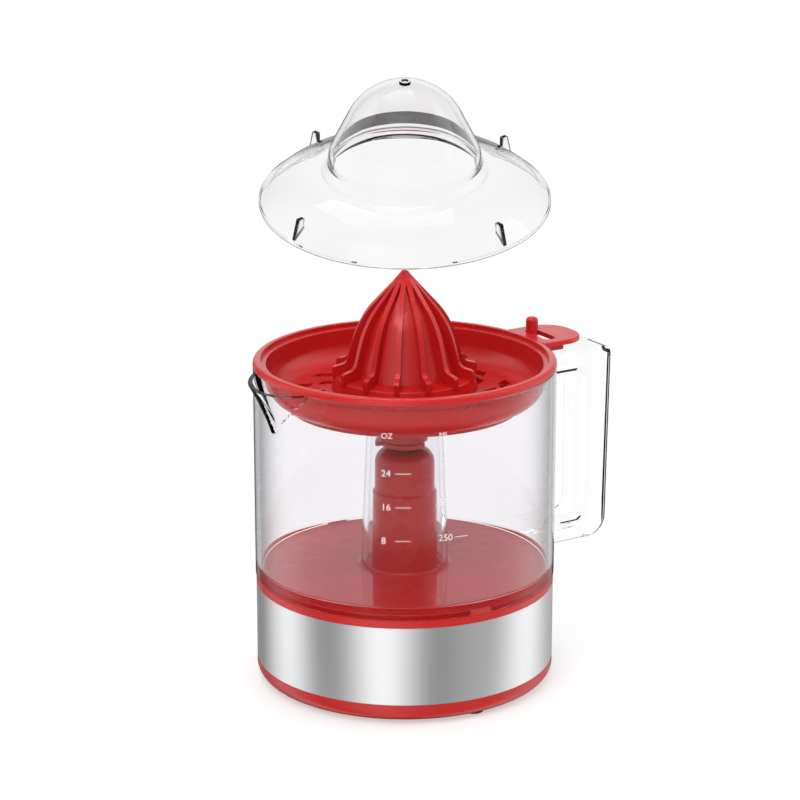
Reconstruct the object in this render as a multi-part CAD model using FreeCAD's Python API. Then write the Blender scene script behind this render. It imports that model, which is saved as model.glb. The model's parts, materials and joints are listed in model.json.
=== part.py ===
import FreeCAD, Part
import math
import os

# Shared clearances
RUN = 0.08              # radial, shaft or pin turning in its bore
FIT = 0.02              # radial, piece pressed or pushed home
SLIDE = 0.10            # across each flat of a sliding drive
LOOSE = 0.40            # lift-off pieces and covers

# Base, heights from the floor
BODY_R = 70.0
FOOT_H = 1.5
PAN_T = 2.2
BAND_Z0 = 10.2
BAND_Z1 = 47.5
BAND_T = 0.8
DECK_Z = 51.0
DECK_T = 2.7
PLATFORM_H = 1.2
PLATFORM_R = BODY_R - 7.2
SKIRT_T = 2.7
PAN_EDGE_R = 6.0

# Drive tower on the base
TOWER_R = 15.0
TOWER_NECK_R = 14.0
TOWER_STEP_Z = 91.0
TOWER_SHOULDER_Z = 103.5
TOWER_TOP_Z = 111.6
TOWER_TOP_R = 8.2
TOWER_WALL = 2.6
BUSH_R = 6.2

# Fixings and feet
SCREW_PCR = BODY_R - 10.5
SCREW_R = 1.5
SCREW_HEAD_R = 3.0
SCREW_HEAD_H = 2.2
BASE_SCREW_L = 13.0
PLATE_SCREW_L = 12.0
POST_R = 4.5
FOOT_PCR = BODY_R - 10.0
FOOT_R = 4.6
FOOT_STEM_R = 2.5
VENT_R = (BODY_R - 34.0, BODY_R - 20.0)
PLATE_PCR = BODY_R - 14.0
PLATE_BOSS_R = 3.6
GLAND_ANGLE = 67.5
GLAND_Z = 6.6
GLAND_R = 2.6
CORD_R = 1.8

# Gear train and motor
MODULE = 1.25
PRESSURE = math.radians(25.0)
ADDENDUM = 0.85 * MODULE
DEDENDUM = 1.15 * MODULE
BACKLASH = 0.28
PINION_TEETH = 12
WHEEL_TEETH = 30
CENTRES = MODULE * (PINION_TEETH + WHEEL_TEETH) / 2 + 0.1
MOTOR_SPAN = (14.0, BODY_R - 8.0)
MOTOR_AT = (MOTOR_SPAN[0] + MOTOR_SPAN[1]) / 2
MOTOR_ANGLE = 270.0
MOTOR_R = MOTOR_AT - MOTOR_SPAN[0]
MOTOR_Z0 = 7.0
MOTOR_WALL = 1.0
MOTOR_PLATE_T = 1.5
COIL_R = (MOTOR_R - 11.0, MOTOR_R - 2.5)
MAGNET_R = COIL_R[0] - 2.5
ROTOR_R = 1.5
MOTOR_SCREW_AT = MOTOR_R - 7.0
PLATE_Z = (29.0, 31.0)
PLATE_R = BODY_R - 6.0
STAGE_A = (32.4, 37.4)
STAGE_B = (39.0, 44.5)
IDLER_TOP = 46.0
IDLER_PIN_R = 2.0
IDLER_HUB_R = 4.0
OUTPUT_HUB_R = 5.9
BUSH_FLANGE = (7.2, 1.0)
RIM_WIDTH = 4.0
SHAFT_R = 4.0
SHAFT_FLATS = 6.4
SHAFT_Z = (20.0, 163.0)
FLATS_Z0 = 33.9
SEAT_R = 9.0
SEAT_T = 1.5
SOCKET_R = 5.6
SPRING_R = 5.2
SPRING_WIRE_R = 0.6
SPRING_TURNS = 5
SPRING_Z0 = 5.5
LOWER_BUSH_Z0 = 26.0

# Start switch under the shaft
SWITCH_Y = (10.5, 30.5)
SWITCH_W = 6.4
SWITCH_Z = (5.2, 14.2)
BUTTON_Y = 19.0
BUTTON_R = 1.4
BUTTON_TOP = 16.95
LEVER_PIVOT = (27.0, 16.2)
LEVER_TIP_Y = 7.2
LEVER_T = 0.6
LEVER_W = 4.0

# Jug
JUG_R = BODY_R + 0.3
JUG_WALL = 2.5
JUG_RIM_Z = 152.0
JUG_FLOOR_Z = 55.0
CHIMNEY_R = (20.6, 17.7)
CHIMNEY_TOP = 124.0
CHIMNEY_WALL = 2.1
SPOUT_R = 29.2
SPOUT_REACH = 8.5
SPOUT_X = JUG_R + SPOUT_REACH - SPOUT_R
SPOUT_FOOT_Z = 129.4
SPOUT_DIP = 2.0         # lip of the spout below the jug rim, at its tip
SPOUT_WALL = 2.2
KEY_R = (JUG_R - 5.0, JUG_R - 1.1)
KEY_H = 3.0
KEY_DEG = 10.0
KEY_ANGLE = 268.0
HANDLE_GAP_R = JUG_R + 26.7
HANDLE_GRIP = 12.0
HANDLE_R = HANDLE_GAP_R + HANDLE_GRIP
HANDLE_W = 22.0
HANDLE_Z = (52.0, 147.0)
HANDLE_GAP_Z = (62.0, 137.0)

# Sieve dish
RIM_R = JUG_R + 0.1
RIM_TOP = 155.0
RIM_LIP_R = RIM_R - 3.7
LEDGE_Z = 153.0
DISH_R = JUG_R - JUG_WALL - 2.6
LEDGE_R = DISH_R - 1.0
DISH_Z = 134.9
DISH_T = 2.2
DISH_CORNER = 12.0
HUB_R = (11.5, 10.8)
HUB_Z = (116.0, 143.0)
SLOTS = 15
SLOT_DEG = 8.0
SLOT_SKEW = 6.0
SLOT_END = DISH_R - DISH_CORNER - 0.2
SLOT_ROWS = ((SLOT_END - 15.4, SLOT_END - 9.2), (SLOT_END - 6.6, SLOT_END))
TAB_REACH = 23.8
TAB_R = RIM_R + TAB_REACH
TAB_W = 31.0
TAB_T = 2.2
TAB_CORNER = 13.0
TAB_RIB = (HANDLE_W / 2 + 0.5, 2.0, 9.6, 2.6)

# Pulp adjuster under the dish
DISC_R = (11.2, DISH_R - 11.2)
DISC_GAP = 0.4
DISC_T = 1.6
ARM_DEG = 6.6
ARM_Z = (147.5, 149.3)
PEG_AT = JUG_R + 5.7
ARM_R = PEG_AT + 3.4
PEG_REST = 5.0
PEG_TRAVEL = 10.5
PEG_R = 2.9
PEG_TOP = 162.0

# Reamer and its drive sleeve
PRESS = 2.5
SLEEVE_R = 7.6
SLEEVE_Z = (112.0, 159.5)
SLEEVE_FLANGE = (10.5, 2.0)
SLEEVE_HEX = 12.0
CLIP_Z = (113.3, 115.5)
CLIP_R = 10.6
CLIP_GROOVE_R = 6.4
CLIP_TAB_R = 13.9
CLIP_ANGLE = 148.0
REAMER_Z0 = 147.0       # foot of the ribbed cone, on top of its skirt
REAMER_SKIRT_R = (34.0, 32.4)
REAMER_SKIRT_Z0 = DISH_Z + DISH_T + PRESS + 1.2
REAMER_RIB_R = 33.6
REAMER_CONE_R = 25.0
REAMER_WAIST = (17.0, 173.5)
REAMER_RIBS = 14
REAMER_RIB_T = 2.4
REAMER_RIB_H = 4.4
REAMER_TOP = 196.0
REAMER_WALL = 2.2
REAMER_BOSS_R = 9.6

# Lid, drawn seated on the ledge and then lifted and leant towards the front
LID_R = RIM_LIP_R - 0.3
LID_T = 2.0
LID_RAISED = 76.0
LID_LEAN = 14.5
LID_FACES = 238.0
LID_RISE = 17.0
LID_EDGE = 2.6
BRIM_BEND = (LID_R - 13.2, 14.0)
DOME_R = 34.7
DOME_COLLAR_Z = 24.5
DOME_DRAFT = 26.4
LID_H = 58.3
LID_RIBS = 4
LID_RIB_T = 1.6
LID_RIB = (0.5, 2.9, 5.7)     # foot, outer top and inner top, in from the edge
LID_RIB_H = 11.6
LID_RIB_ANGLE = 10.0
NUB_R = 2.6
NUB_H = 1.2

# The drive axis stands this far from the middle of the length, spout to handle
AXIS_X = (SPOUT_X + SPOUT_R - HANDLE_R) / 2

PAN_TOP = FOOT_H + PAN_T
DECK_UNDER = DECK_Z - DECK_T
Z_AXIS = FreeCAD.Vector(0, 0, 1)
ORIGIN = FreeCAD.Vector(0, 0, 0)


def polar(radius, degrees, z=0.0):
    """Point at a radius and angle about the drive axis."""
    a = math.radians(degrees)
    return FreeCAD.Vector(radius * math.cos(a), radius * math.sin(a), z)


def cyl(radius, z0, z1, at=ORIGIN):
    """Upright cylinder between two heights."""
    return Part.makeCylinder(radius, z1 - z0, FreeCAD.Vector(at.x, at.y, z0))


def tube(r_out, r_in, z0, z1, at=ORIGIN):
    """Upright ring between two heights."""
    return cyl(r_out, z0, z1, at).cut(cyl(r_in, z0 - 1, z1 + 1, at))


def block(x0, x1, y0, y1, z0, z1):
    """Box between its limits."""
    return Part.makeBox(x1 - x0, y1 - y0, z1 - z0, FreeCAD.Vector(x0, y0, z0))


def outline(points):
    """Closed wire in the XZ plane; a third value rounds that corner."""
    corners = [FreeCAD.Vector(p[0], 0, p[1]) for p in points]
    ends = []
    for i, corner in enumerate(corners):
        radius = points[i][2] if len(points[i]) > 2 else 0.0
        if radius == 0.0:
            ends.append((corner, None, corner))
            continue
        u = (corners[i - 1] - corner).normalize()
        v = (corners[(i + 1) % len(corners)] - corner).normalize()
        half = u.getAngle(v) / 2
        reach = radius / math.tan(half)
        centre = corner + (u + v).normalize() * (radius / math.sin(half))
        middle = centre + (corner - centre).normalize() * radius
        ends.append((corner + u * reach, middle, corner + v * reach))
    edges = []
    for i, (start, middle, end) in enumerate(ends):
        before = ends[i - 1][2]
        if before.distanceToPoint(start) > 1e-6:
            edges.append(Part.makeLine(before, start))
        if middle is not None:
            edges.append(Part.Arc(start, middle, end).toShape())
    return Part.Wire(edges)


def lathe(points, start=0.0, sweep=360.0):
    """Profile of (radius, height) points turned about the drive axis."""
    solid = Part.Face(outline(points)).revolve(ORIGIN, Z_AXIS, sweep)
    solid.rotate(ORIGIN, Z_AXIS, start)
    return solid


def slab(points, y0, y1):
    """Profile in the XZ plane drawn out along Y."""
    face = Part.Face(outline(points))
    face.translate(FreeCAD.Vector(0, y0, 0))
    return face.extrude(FreeCAD.Vector(0, y1 - y0, 0))


def prism(points, z0, z1):
    """Plan outline drawn up between two heights."""
    wire = Part.makePolygon([FreeCAD.Vector(p.x, p.y, z0) for p in points + points[:1]])
    return Part.Face(wire).extrude(FreeCAD.Vector(0, 0, z1 - z0))


def ring_of(shape, count, start=0.0):
    """Copies of a shape spaced evenly about the drive axis."""
    copies = []
    for k in range(count):
        copy = shape.copy()
        copy.rotate(ORIGIN, Z_AXIS, start + 360.0 * k / count)
        copies.append(copy)
    return copies


def double_d(flats, z0, z1, radius=SHAFT_R):
    """Round bar with two flats."""
    return cyl(radius, z0, z1).common(block(-radius, radius, -flats / 2, flats / 2, z0, z1))


def hexagon(flats, z0, z1):
    """Six-sided bar."""
    corner = flats / math.sqrt(3)
    return prism([polar(corner, 60.0 * k) for k in range(6)], z0, z1)


def gear(teeth, z0, z1, first_tooth):
    """Spur gear on the drive axis with one tooth at the given angle."""
    pitch = MODULE * teeth / 2
    base = pitch * math.cos(PRESSURE)
    root, tip = pitch - DEDENDUM, pitch + ADDENDUM
    at_pitch = math.pi / (2 * teeth) - BACKLASH / (4 * pitch)

    def half_angle(radius):
        roll = math.acos(min(1.0, base / radius))
        wide = math.tan(PRESSURE) - PRESSURE - math.tan(roll) + roll
        return math.degrees(at_pitch + wide)

    radii = [root] + [max(base, root) + (tip - max(base, root)) * k / 4 for k in range(5)]
    points = []
    for k in range(teeth):
        centre = first_tooth + 360.0 * k / teeth
        points += [polar(r, centre - half_angle(r)) for r in radii]
        points += [polar(r, centre + half_angle(r)) for r in reversed(radii)]
    return prism(points, z0, z1)


def gear_places():
    """Axis of the idler and of the motor, and the angle between them."""
    motor = polar(MOTOR_AT, MOTOR_ANGLE)
    turn = math.degrees(math.acos(MOTOR_AT / 2 / CENTRES))
    idler = polar(CENTRES, MOTOR_ANGLE - turn)
    step = motor - idler
    return idler, motor, MOTOR_ANGLE - turn, math.degrees(math.atan2(step.y, step.x))


def screw(z_face, length, upward):
    """Pan-head screw on the drive axis, its head seated on the given face."""
    sign = 1 if upward else -1
    low = min(z_face, z_face - sign * SCREW_HEAD_H)
    head = cyl(SCREW_HEAD_R, low, low + SCREW_HEAD_H)
    end = z_face + sign * length
    shank = cyl(SCREW_R, min(z_face, end), max(z_face, end))
    slot = block(-SCREW_HEAD_R, SCREW_HEAD_R, -0.4, 0.4, -0.5, 0.5)
    outer = z_face - sign * SCREW_HEAD_H
    cross = [slot.translated(FreeCAD.Vector(0, 0, outer))]
    cross.append(cross[0].copy())
    cross[1].rotate(ORIGIN, Z_AXIS, 90)
    return head.fuse(shank).cut(cross)


def base_pan():
    """Red bottom tray with its rounded edge, bosses, vents and switch pad."""
    wall = BODY_R - SKIRT_T - BAND_T - LOOSE
    pan = lathe([(0, FOOT_H), (BODY_R, FOOT_H, PAN_EDGE_R), (BODY_R, BAND_Z0),
                 (wall, BAND_Z0), (wall, PAN_TOP), (0, PAN_TOP)])
    screw_face = FOOT_H + SCREW_HEAD_H + 0.5
    boss = cyl(POST_R, FOOT_H, screw_face + PAN_T, polar(SCREW_PCR, 0))
    pan = pan.fuse(ring_of(boss, 4, 45))
    pan = pan.fuse([cyl(SEAT_R - 1, FOOT_H, SPRING_Z0),
                    cyl(SPRING_R - SPRING_WIRE_R - 0.6, FOOT_H, SPRING_Z0 + 3.5),
                    block(-SWITCH_W / 2, SWITCH_W / 2, *SWITCH_Y, FOOT_H, SWITCH_Z[0])])
    head = cyl(SCREW_HEAD_R + LOOSE, 0, screw_face, polar(SCREW_PCR, 0))
    hole = cyl(SCREW_R + RUN, 0, BAND_Z0, polar(SCREW_PCR, 0))
    pan = pan.cut(ring_of(head.fuse(hole), 4, 45))
    pan = pan.cut(ring_of(cyl(FOOT_STEM_R + FIT, 0, BAND_Z0, polar(FOOT_PCR, 0)), 4))
    r0, r1 = VENT_R
    vent = prism([polar(r0, -3), polar(r1, -2.2), polar(r1, 2.2), polar(r0, 3)], 0, PAN_TOP + 1)
    vents = [v for k in (-2, -1, 0, 1, 2) for v in ring_of(vent, 2, 12.0 * k)]
    pan = pan.cut(vents)
    return pan.cut(gland_bar(GLAND_R + FIT, wall - 5, BODY_R + 5))


def gland_bar(radius, r0, r1):
    """Round bar lying along the gland's direction."""
    bar = Part.makeCylinder(radius, r1 - r0, FreeCAD.Vector(r0, 0, GLAND_Z), FreeCAD.Vector(1, 0, 0))
    bar.rotate(ORIGIN, Z_AXIS, GLAND_ANGLE)
    return bar


def cord_gland():
    """Rubber bush in the back wall where a mains lead would enter."""
    inner = BODY_R - SKIRT_T - BAND_T - LOOSE
    ring = gland_bar(GLAND_R + 0.6, BODY_R + 0.1, BODY_R + 1.3)
    body = gland_bar(GLAND_R, inner - 1.5, BODY_R + 1.0)
    return body.fuse(ring).cut(gland_bar(CORD_R, inner - 3, BODY_R + 3))


def base_feet():
    """Four push-in rubber feet."""
    stem = FOOT_STEM_R
    foot = lathe([(0, 0), (FOOT_R, 0, 0.5), (FOOT_R, FOOT_H), (stem, FOOT_H), (stem, PAN_TOP),
                  (stem + 0.8, PAN_TOP), (stem - 0.3, PAN_TOP + 1.6), (0, PAN_TOP + 1.6)])
    foot.translate(polar(FOOT_PCR, 0))
    return Part.makeCompound(ring_of(foot, 4))


def base_screws():
    """Four screws that hold the pan to the cover."""
    one = screw(FOOT_H + SCREW_HEAD_H + 0.5, BASE_SCREW_L, True)
    one.translate(polar(SCREW_PCR, 0))
    return Part.makeCompound(ring_of(one, 4, 45))


def steel_band():
    """Plain wrapped band between the two red rings."""
    return tube(BODY_R, BODY_R - BAND_T, BAND_Z0, BAND_Z1)


def base_cover():
    """Red deck with its skirt, drive tower, jug keys, screw posts and plate bosses."""
    skirt_out = BODY_R - BAND_T - SLIDE
    skirt_in = skirt_out - SKIRT_T
    platform = DECK_Z + PLATFORM_H
    bore = TOWER_R - TOWER_WALL
    seat_z = TOWER_SHOULDER_Z - 4.5
    cover = lathe([
        (skirt_in, BAND_Z0), (skirt_out, BAND_Z0), (skirt_out, BAND_Z1), (BODY_R, BAND_Z1),
        (BODY_R, DECK_Z, 0.8), (PLATFORM_R, DECK_Z), (PLATFORM_R, platform, 0.5),
        (TOWER_R + 0.4, platform, 2.0), (TOWER_R, TOWER_STEP_Z, 0.4),
        (TOWER_NECK_R, TOWER_STEP_Z + 1.0, 0.4), (TOWER_NECK_R, TOWER_TOP_Z - 1.4, 6.4),
        (TOWER_TOP_R, TOWER_TOP_Z, 0.3), (BUSH_R + FIT, TOWER_TOP_Z), (BUSH_R + FIT, seat_z),
        (bore - 1.0, seat_z), (bore, DECK_UNDER), (skirt_in, DECK_UNDER)])
    top = DECK_UNDER + 0.5
    post = cyl(POST_R, FOOT_H + SCREW_HEAD_H + 0.5 + PAN_T, top, polar(SCREW_PCR, 0))
    boss = cyl(PLATE_BOSS_R, PLATE_Z[1], top, polar(PLATE_PCR, 0))
    cover = cover.fuse(ring_of(post, 4, 45) + ring_of(boss, 3) + key_ring(LOOSE))
    holes = ring_of(cyl(SCREW_R + FIT, 0, 22, polar(SCREW_PCR, 0)), 4, 45)
    holes += ring_of(cyl(SCREW_R + FIT, 0, PLATE_Z[1] + 11, polar(PLATE_PCR, 0)), 3)
    return cover.cut(holes)


def upper_bush():
    """Flanged bush pushed up into the tower head."""
    seat_z = TOWER_SHOULDER_Z - 4.5
    bush = cyl(BUSH_R, seat_z, TOWER_TOP_Z - 3.0).fuse(cyl(BUSH_R + 2.6, seat_z - 1.5, seat_z))
    return bush.cut(cyl(SHAFT_R + RUN, seat_z - 5, TOWER_TOP_Z))


def tower_seal():
    """Rubber ring over the bush that keeps juice out of the tower."""
    low = TOWER_TOP_Z - 3.0
    return lathe([(SHAFT_R + RUN, low), (BUSH_R, low), (BUSH_R, TOWER_TOP_Z),
                  (SHAFT_R + 1.2, TOWER_TOP_Z), (SHAFT_R + RUN, TOWER_TOP_Z - 1.0)])


def gear_plate():
    """Steel plate that carries the gears above and the motor below."""
    idler, motor = gear_places()[:2]
    plate = cyl(PLATE_R, *PLATE_Z).fuse(cyl(IDLER_HUB_R, PLATE_Z[0], STAGE_A[0] - 0.2, idler))
    holes = ring_of(cyl(POST_R + LOOSE, 0, 60, polar(SCREW_PCR, 0)), 4, 45)
    holes += ring_of(cyl(SCREW_R + RUN, 0, 60, polar(PLATE_PCR, 0)), 3)
    holes += [cyl(BUSH_R + FIT, 0, 60), cyl(IDLER_PIN_R + FIT, 0, 60, idler),
              cyl(IDLER_HUB_R, 0, 60, motor)]
    holes += [cyl(SCREW_R + RUN, 0, 60, spot) for spot in motor_screw_spots()]
    window = prism([polar(22, 40), polar(50, 60), polar(50, 130), polar(22, 140)], 0, 60)
    return plate.cut(holes + [window])


def plate_screws():
    """Three screws that hang the gear plate from the cover."""
    one = screw(PLATE_Z[0], PLATE_SCREW_L, True)
    one.translate(polar(PLATE_PCR, 0))
    return Part.makeCompound(ring_of(one, 3))


def lower_bush():
    """Flanged bush that guides the shaft in the plate."""
    flange_r, flange_t = BUSH_FLANGE
    bush = cyl(BUSH_R, LOWER_BUSH_Z0, PLATE_Z[1])
    bush = bush.fuse(cyl(flange_r, PLATE_Z[1], PLATE_Z[1] + flange_t))
    return bush.cut(cyl(SHAFT_R + RUN, 0, 60))


def idler_pin():
    """Fixed steel pin for the idler."""
    return cyl(IDLER_PIN_R, PLATE_Z[0], IDLER_TOP + 1.6, gear_places()[0])


def idler_clip():
    """Push-on washer above the idler."""
    return tube(IDLER_HUB_R, IDLER_PIN_R + FIT, IDLER_TOP + 0.1, IDLER_TOP + 0.9, gear_places()[0])


def idler_gear():
    """Large wheel and pinion moulded as one."""
    idler, _, out_angle, motor_angle = gear_places()
    wheel = gear(WHEEL_TEETH, *STAGE_A, motor_angle)
    pinion = gear(PINION_TEETH, STAGE_A[1] - 0.5, IDLER_TOP, out_angle + 180.0 + 180.0 / PINION_TEETH)
    hub = cyl(IDLER_HUB_R, STAGE_A[0] - 0.2, STAGE_A[1])
    solid = wheel.fuse([pinion, hub]).cut(cyl(IDLER_PIN_R + RUN, 0, 60))
    groove = tube(MODULE * WHEEL_TEETH / 2 - RIM_WIDTH, 10.5, STAGE_A[1] - 1.6, STAGE_A[1] + 0.1)
    solid = solid.cut(groove.cut(cyl(12.0, 0, 60)))
    solid.translate(idler)
    return solid


def output_gear():
    """Wheel on the drive axis that turns the sliding shaft."""
    out_angle = gear_places()[2]
    wheel = gear(WHEEL_TEETH, *STAGE_B, out_angle)
    wheel = wheel.cut(tube(MODULE * WHEEL_TEETH / 2 - RIM_WIDTH, 10.0, STAGE_B[1] - 2, STAGE_B[1] + 1))
    solid = wheel.fuse(cyl(OUTPUT_HUB_R, PLATE_Z[1] + BUSH_FLANGE[1], IDLER_TOP))
    bore = double_d(SHAFT_FLATS + 2 * SLIDE, 0, 60, SHAFT_R + RUN)
    return solid.cut([bore, cyl(SHAFT_R + RUN, 0, FLATS_Z0 + 0.3)])


def drive_shaft():
    """Steel spindle, round below and with two flats above."""
    round_end = cyl(SHAFT_R, SHAFT_Z[0], FLATS_Z0)
    shaft = round_end.fuse(double_d(SHAFT_FLATS, FLATS_Z0, SHAFT_Z[1]))
    tip = lathe([(0, SHAFT_Z[1] - 6), (SHAFT_R + 1, SHAFT_Z[1] - 6), (SHAFT_R + 1, SHAFT_Z[1] - 2),
                 (SHAFT_R - 1, SHAFT_Z[1]), (0, SHAFT_Z[1])])
    return shaft.common(cyl(SHAFT_R + 1, 0, SHAFT_Z[1] - 6).fuse(tip))


def spring_seat():
    """Cup on the shaft's foot that the spring pushes up against the bush."""
    low = SHAFT_Z[0] - SEAT_T
    cup = lathe([(0, low), (SEAT_R, low), (SEAT_R, SHAFT_Z[0]), (SOCKET_R, SHAFT_Z[0]),
                 (SOCKET_R, LOWER_BUSH_Z0), (0, LOWER_BUSH_Z0)])
    return cup.cut(cyl(SHAFT_R + FIT, SHAFT_Z[0], LOWER_BUSH_Z0 + 1))


def return_spring():
    """Wound wire between the pan boss and the cup."""
    low = SPRING_Z0 + SPRING_WIRE_R
    height = SHAFT_Z[0] - SEAT_T - SPRING_WIRE_R - low
    path = Part.Wire(Part.makeHelix(height / SPRING_TURNS, height, SPRING_R))
    circle = Part.makeCircle(SPRING_WIRE_R, FreeCAD.Vector(SPRING_R, 0, 0), FreeCAD.Vector(0, 1, 0))
    coil = path.makePipeShell([Part.Wire(circle)], True, True)
    coil.translate(FreeCAD.Vector(0, 0, low))
    return coil


def motor_case():
    """Drawn steel cup of the motor."""
    motor = gear_places()[1]
    top = PLATE_Z[0] - MOTOR_PLATE_T
    cup = cyl(MOTOR_R, MOTOR_Z0, top, motor)
    return cup.cut(cyl(MOTOR_R - MOTOR_WALL, MOTOR_Z0 + MOTOR_WALL, top + 1, motor))


def motor_end_plate():
    """Flat steel lid of the motor, screwed to the gear plate."""
    motor = gear_places()[1]
    plate = cyl(MOTOR_R, PLATE_Z[0] - MOTOR_PLATE_T, PLATE_Z[0], motor)
    holes = [cyl(SCREW_R + FIT, 0, 60, spot) for spot in motor_screw_spots()]
    return plate.cut(holes + [cyl(ROTOR_R + RUN, 0, 60, motor)])


def motor_screw_spots():
    """Two screw places either side of the motor axis."""
    _, motor, _, mesh = gear_places()
    return [motor + polar(MOTOR_SCREW_AT, mesh + side) for side in (90.0, -90.0)]


def motor_screws():
    """Two screws down through the gear plate into the motor."""
    screws = []
    for spot in motor_screw_spots():
        one = screw(PLATE_Z[1], PLATE_Z[1] - PLATE_Z[0] + MOTOR_PLATE_T, False)
        screws.append(one.translated(spot))
    return Part.makeCompound(screws)


def motor_coil():
    """Wound ring coil standing in the motor cup."""
    motor = gear_places()[1]
    low = MOTOR_Z0 + MOTOR_WALL
    high = PLATE_Z[0] - MOTOR_PLATE_T - 2.0
    coil = lathe([(COIL_R[0], low), (COIL_R[1], low, 1.5), (COIL_R[1], high, 1.5), (COIL_R[0], high)])
    return coil.translated(motor)


def rotor_magnet():
    """Round magnet on the rotor shaft."""
    motor = gear_places()[1]
    magnet = tube(MAGNET_R, ROTOR_R + FIT, MOTOR_Z0 + 3.0, PLATE_Z[0] - 5.0)
    return magnet.translated(motor)


def rotor_shaft():
    """Motor shaft standing on the floor of the cup."""
    motor = gear_places()[1]
    return cyl(ROTOR_R, MOTOR_Z0 + MOTOR_WALL, STAGE_A[1] + 1.0, motor)


def motor_pinion():
    """Small gear on the motor shaft."""
    _, motor, _, mesh = gear_places()
    pinion = gear(PINION_TEETH, PLATE_Z[1] + 0.6, STAGE_A[1] + 0.6, mesh + 180.0 + 180.0 / PINION_TEETH)
    return pinion.cut(cyl(ROTOR_R + FIT, 0, 60)).translated(motor)


def switch_body():
    """Snap switch on its pad, with ears for the lever pivot."""
    half = SWITCH_W / 2
    y, z = LEVER_PIVOT
    body = block(-half, half, *SWITCH_Y, *SWITCH_Z)
    ear = block(-half, half, y - 2, y + 2, SWITCH_Z[1] - 0.5, z + 1.6)
    ear = ear.cut(block(-LEVER_W / 2 - 0.3, LEVER_W / 2 + 0.3, y - 3, y + 3, SWITCH_Z[1], z + 3))
    pivot = Part.makeCylinder(0.8, SWITCH_W, FreeCAD.Vector(-half, y, z), FreeCAD.Vector(1, 0, 0))
    hole = cyl(BUTTON_R + RUN, SWITCH_Z[0] + 3.5, SWITCH_Z[1] + 1, FreeCAD.Vector(0, BUTTON_Y, 0))
    return body.cut(hole).fuse([ear, pivot])


def switch_lever():
    """Leaf that the spring cup pushes down."""
    y, z = LEVER_PIVOT
    half = LEVER_W / 2
    eye = Part.makeCylinder(1.5, LEVER_W, FreeCAD.Vector(-half, y, z), FreeCAD.Vector(1, 0, 0))
    top = SHAFT_Z[0] - SEAT_T - 0.2
    low = z + 0.5
    face = Part.makePolygon([FreeCAD.Vector(-half, *p) for p in (
        (y, low), (y, low + LEVER_T), (LEVER_TIP_Y, top), (LEVER_TIP_Y, top - LEVER_T), (y, low))])
    leaf = Part.Face(face).extrude(FreeCAD.Vector(LEVER_W, 0, 0))
    bore = Part.makeCylinder(0.8 + RUN, LEVER_W + 2, FreeCAD.Vector(-half - 1, y, z),
                             FreeCAD.Vector(1, 0, 0))
    return leaf.fuse(eye).cut(bore)


def switch_button():
    """Small plunger of the switch under the leaf."""
    button = lathe([(0, SWITCH_Z[0] + 6.0), (BUTTON_R, SWITCH_Z[0] + 6.0),
                    (BUTTON_R, BUTTON_TOP, 0.8), (0, BUTTON_TOP)])
    return button.translated(FreeCAD.Vector(0, BUTTON_Y, 0))


def spout(shrink):
    """Leaning cone of the pouring spout, whole or less its wall."""
    top = Part.Wire(Part.makeCircle(SPOUT_R - shrink, FreeCAD.Vector(-SPOUT_X, 0, JUG_RIM_Z)))
    foot_r = 1.2
    foot = FreeCAD.Vector(foot_r + 1.7 * shrink - JUG_R, 0, SPOUT_FOOT_Z + shrink)
    low = Part.Wire(Part.makeCircle(foot_r, foot))
    return Part.makeLoft([low, top], True, True)


def lip_cut():
    """Wedge that lets the spout's lip fall away from the jug rim."""
    root = (SPOUT_X ** 2 + JUG_R ** 2 - SPOUT_R ** 2) / (2 * SPOUT_X)
    tip = JUG_R + SPOUT_REACH
    fall = SPOUT_DIP / (tip - root)
    return slab([(-root, JUG_RIM_Z), (-root - 20, JUG_RIM_Z - 20 * fall), (-root - 20, JUG_RIM_Z + 2),
                 (-root, JUG_RIM_Z + 2)], -SPOUT_R, SPOUT_R)


def key_ring(less):
    """Two blocks on the deck that fill the jug's pockets, or are smaller by a gap."""
    turn = math.degrees(2 * less / KEY_R[0])
    low, high = DECK_Z - 0.5, DECK_Z + KEY_H - less
    block_one = lathe([(KEY_R[0] + less, low), (KEY_R[1] - less, low), (KEY_R[1] - less, high),
                       (KEY_R[0] + less, high)], KEY_ANGLE - KEY_DEG / 2 + turn, KEY_DEG - 2 * turn)
    return ring_of(block_one, 2)


def jug():
    """Clear jug with its hollow chimney, pouring spout, rim notch and key pockets."""
    inner = JUG_R - JUG_WALL
    recess = DECK_Z + PLATFORM_H + 0.3
    foot_r = PLATFORM_R + LOOSE
    shell = lathe([
        (foot_r, DECK_Z), (JUG_R, DECK_Z, 1.0), (JUG_R, JUG_RIM_Z, 0.6), (inner, JUG_RIM_Z, 0.6),
        (inner, JUG_FLOOR_Z, 3.0), (CHIMNEY_R[0], JUG_FLOOR_Z, 2.0), (CHIMNEY_R[1], CHIMNEY_TOP, 0.8),
        (CHIMNEY_R[1] - CHIMNEY_WALL, CHIMNEY_TOP, 0.8), (CHIMNEY_R[0] - CHIMNEY_WALL, recess),
        (foot_r, recess)])
    body = shell.fuse(spout(0.0).cut(cyl(inner + 0.5, 0, JUG_RIM_Z + 1)))
    mouth = spout(SPOUT_WALL).cut(cyl(inner - 2, 0, JUG_RIM_Z + 1))
    swing = PEG_TRAVEL + ARM_DEG + 2.4
    first = PEG_REST - PEG_TRAVEL - ARM_DEG / 2 - 1.2
    notch = lathe([(inner - 2, HANDLE_Z[1]), (JUG_R + 2, HANDLE_Z[1]), (JUG_R + 2, JUG_RIM_Z + 1),
                   (inner - 2, JUG_RIM_Z + 1)], first, swing)
    return body.cut([mouth, notch, lip_cut()] + key_ring(0.0))


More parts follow.
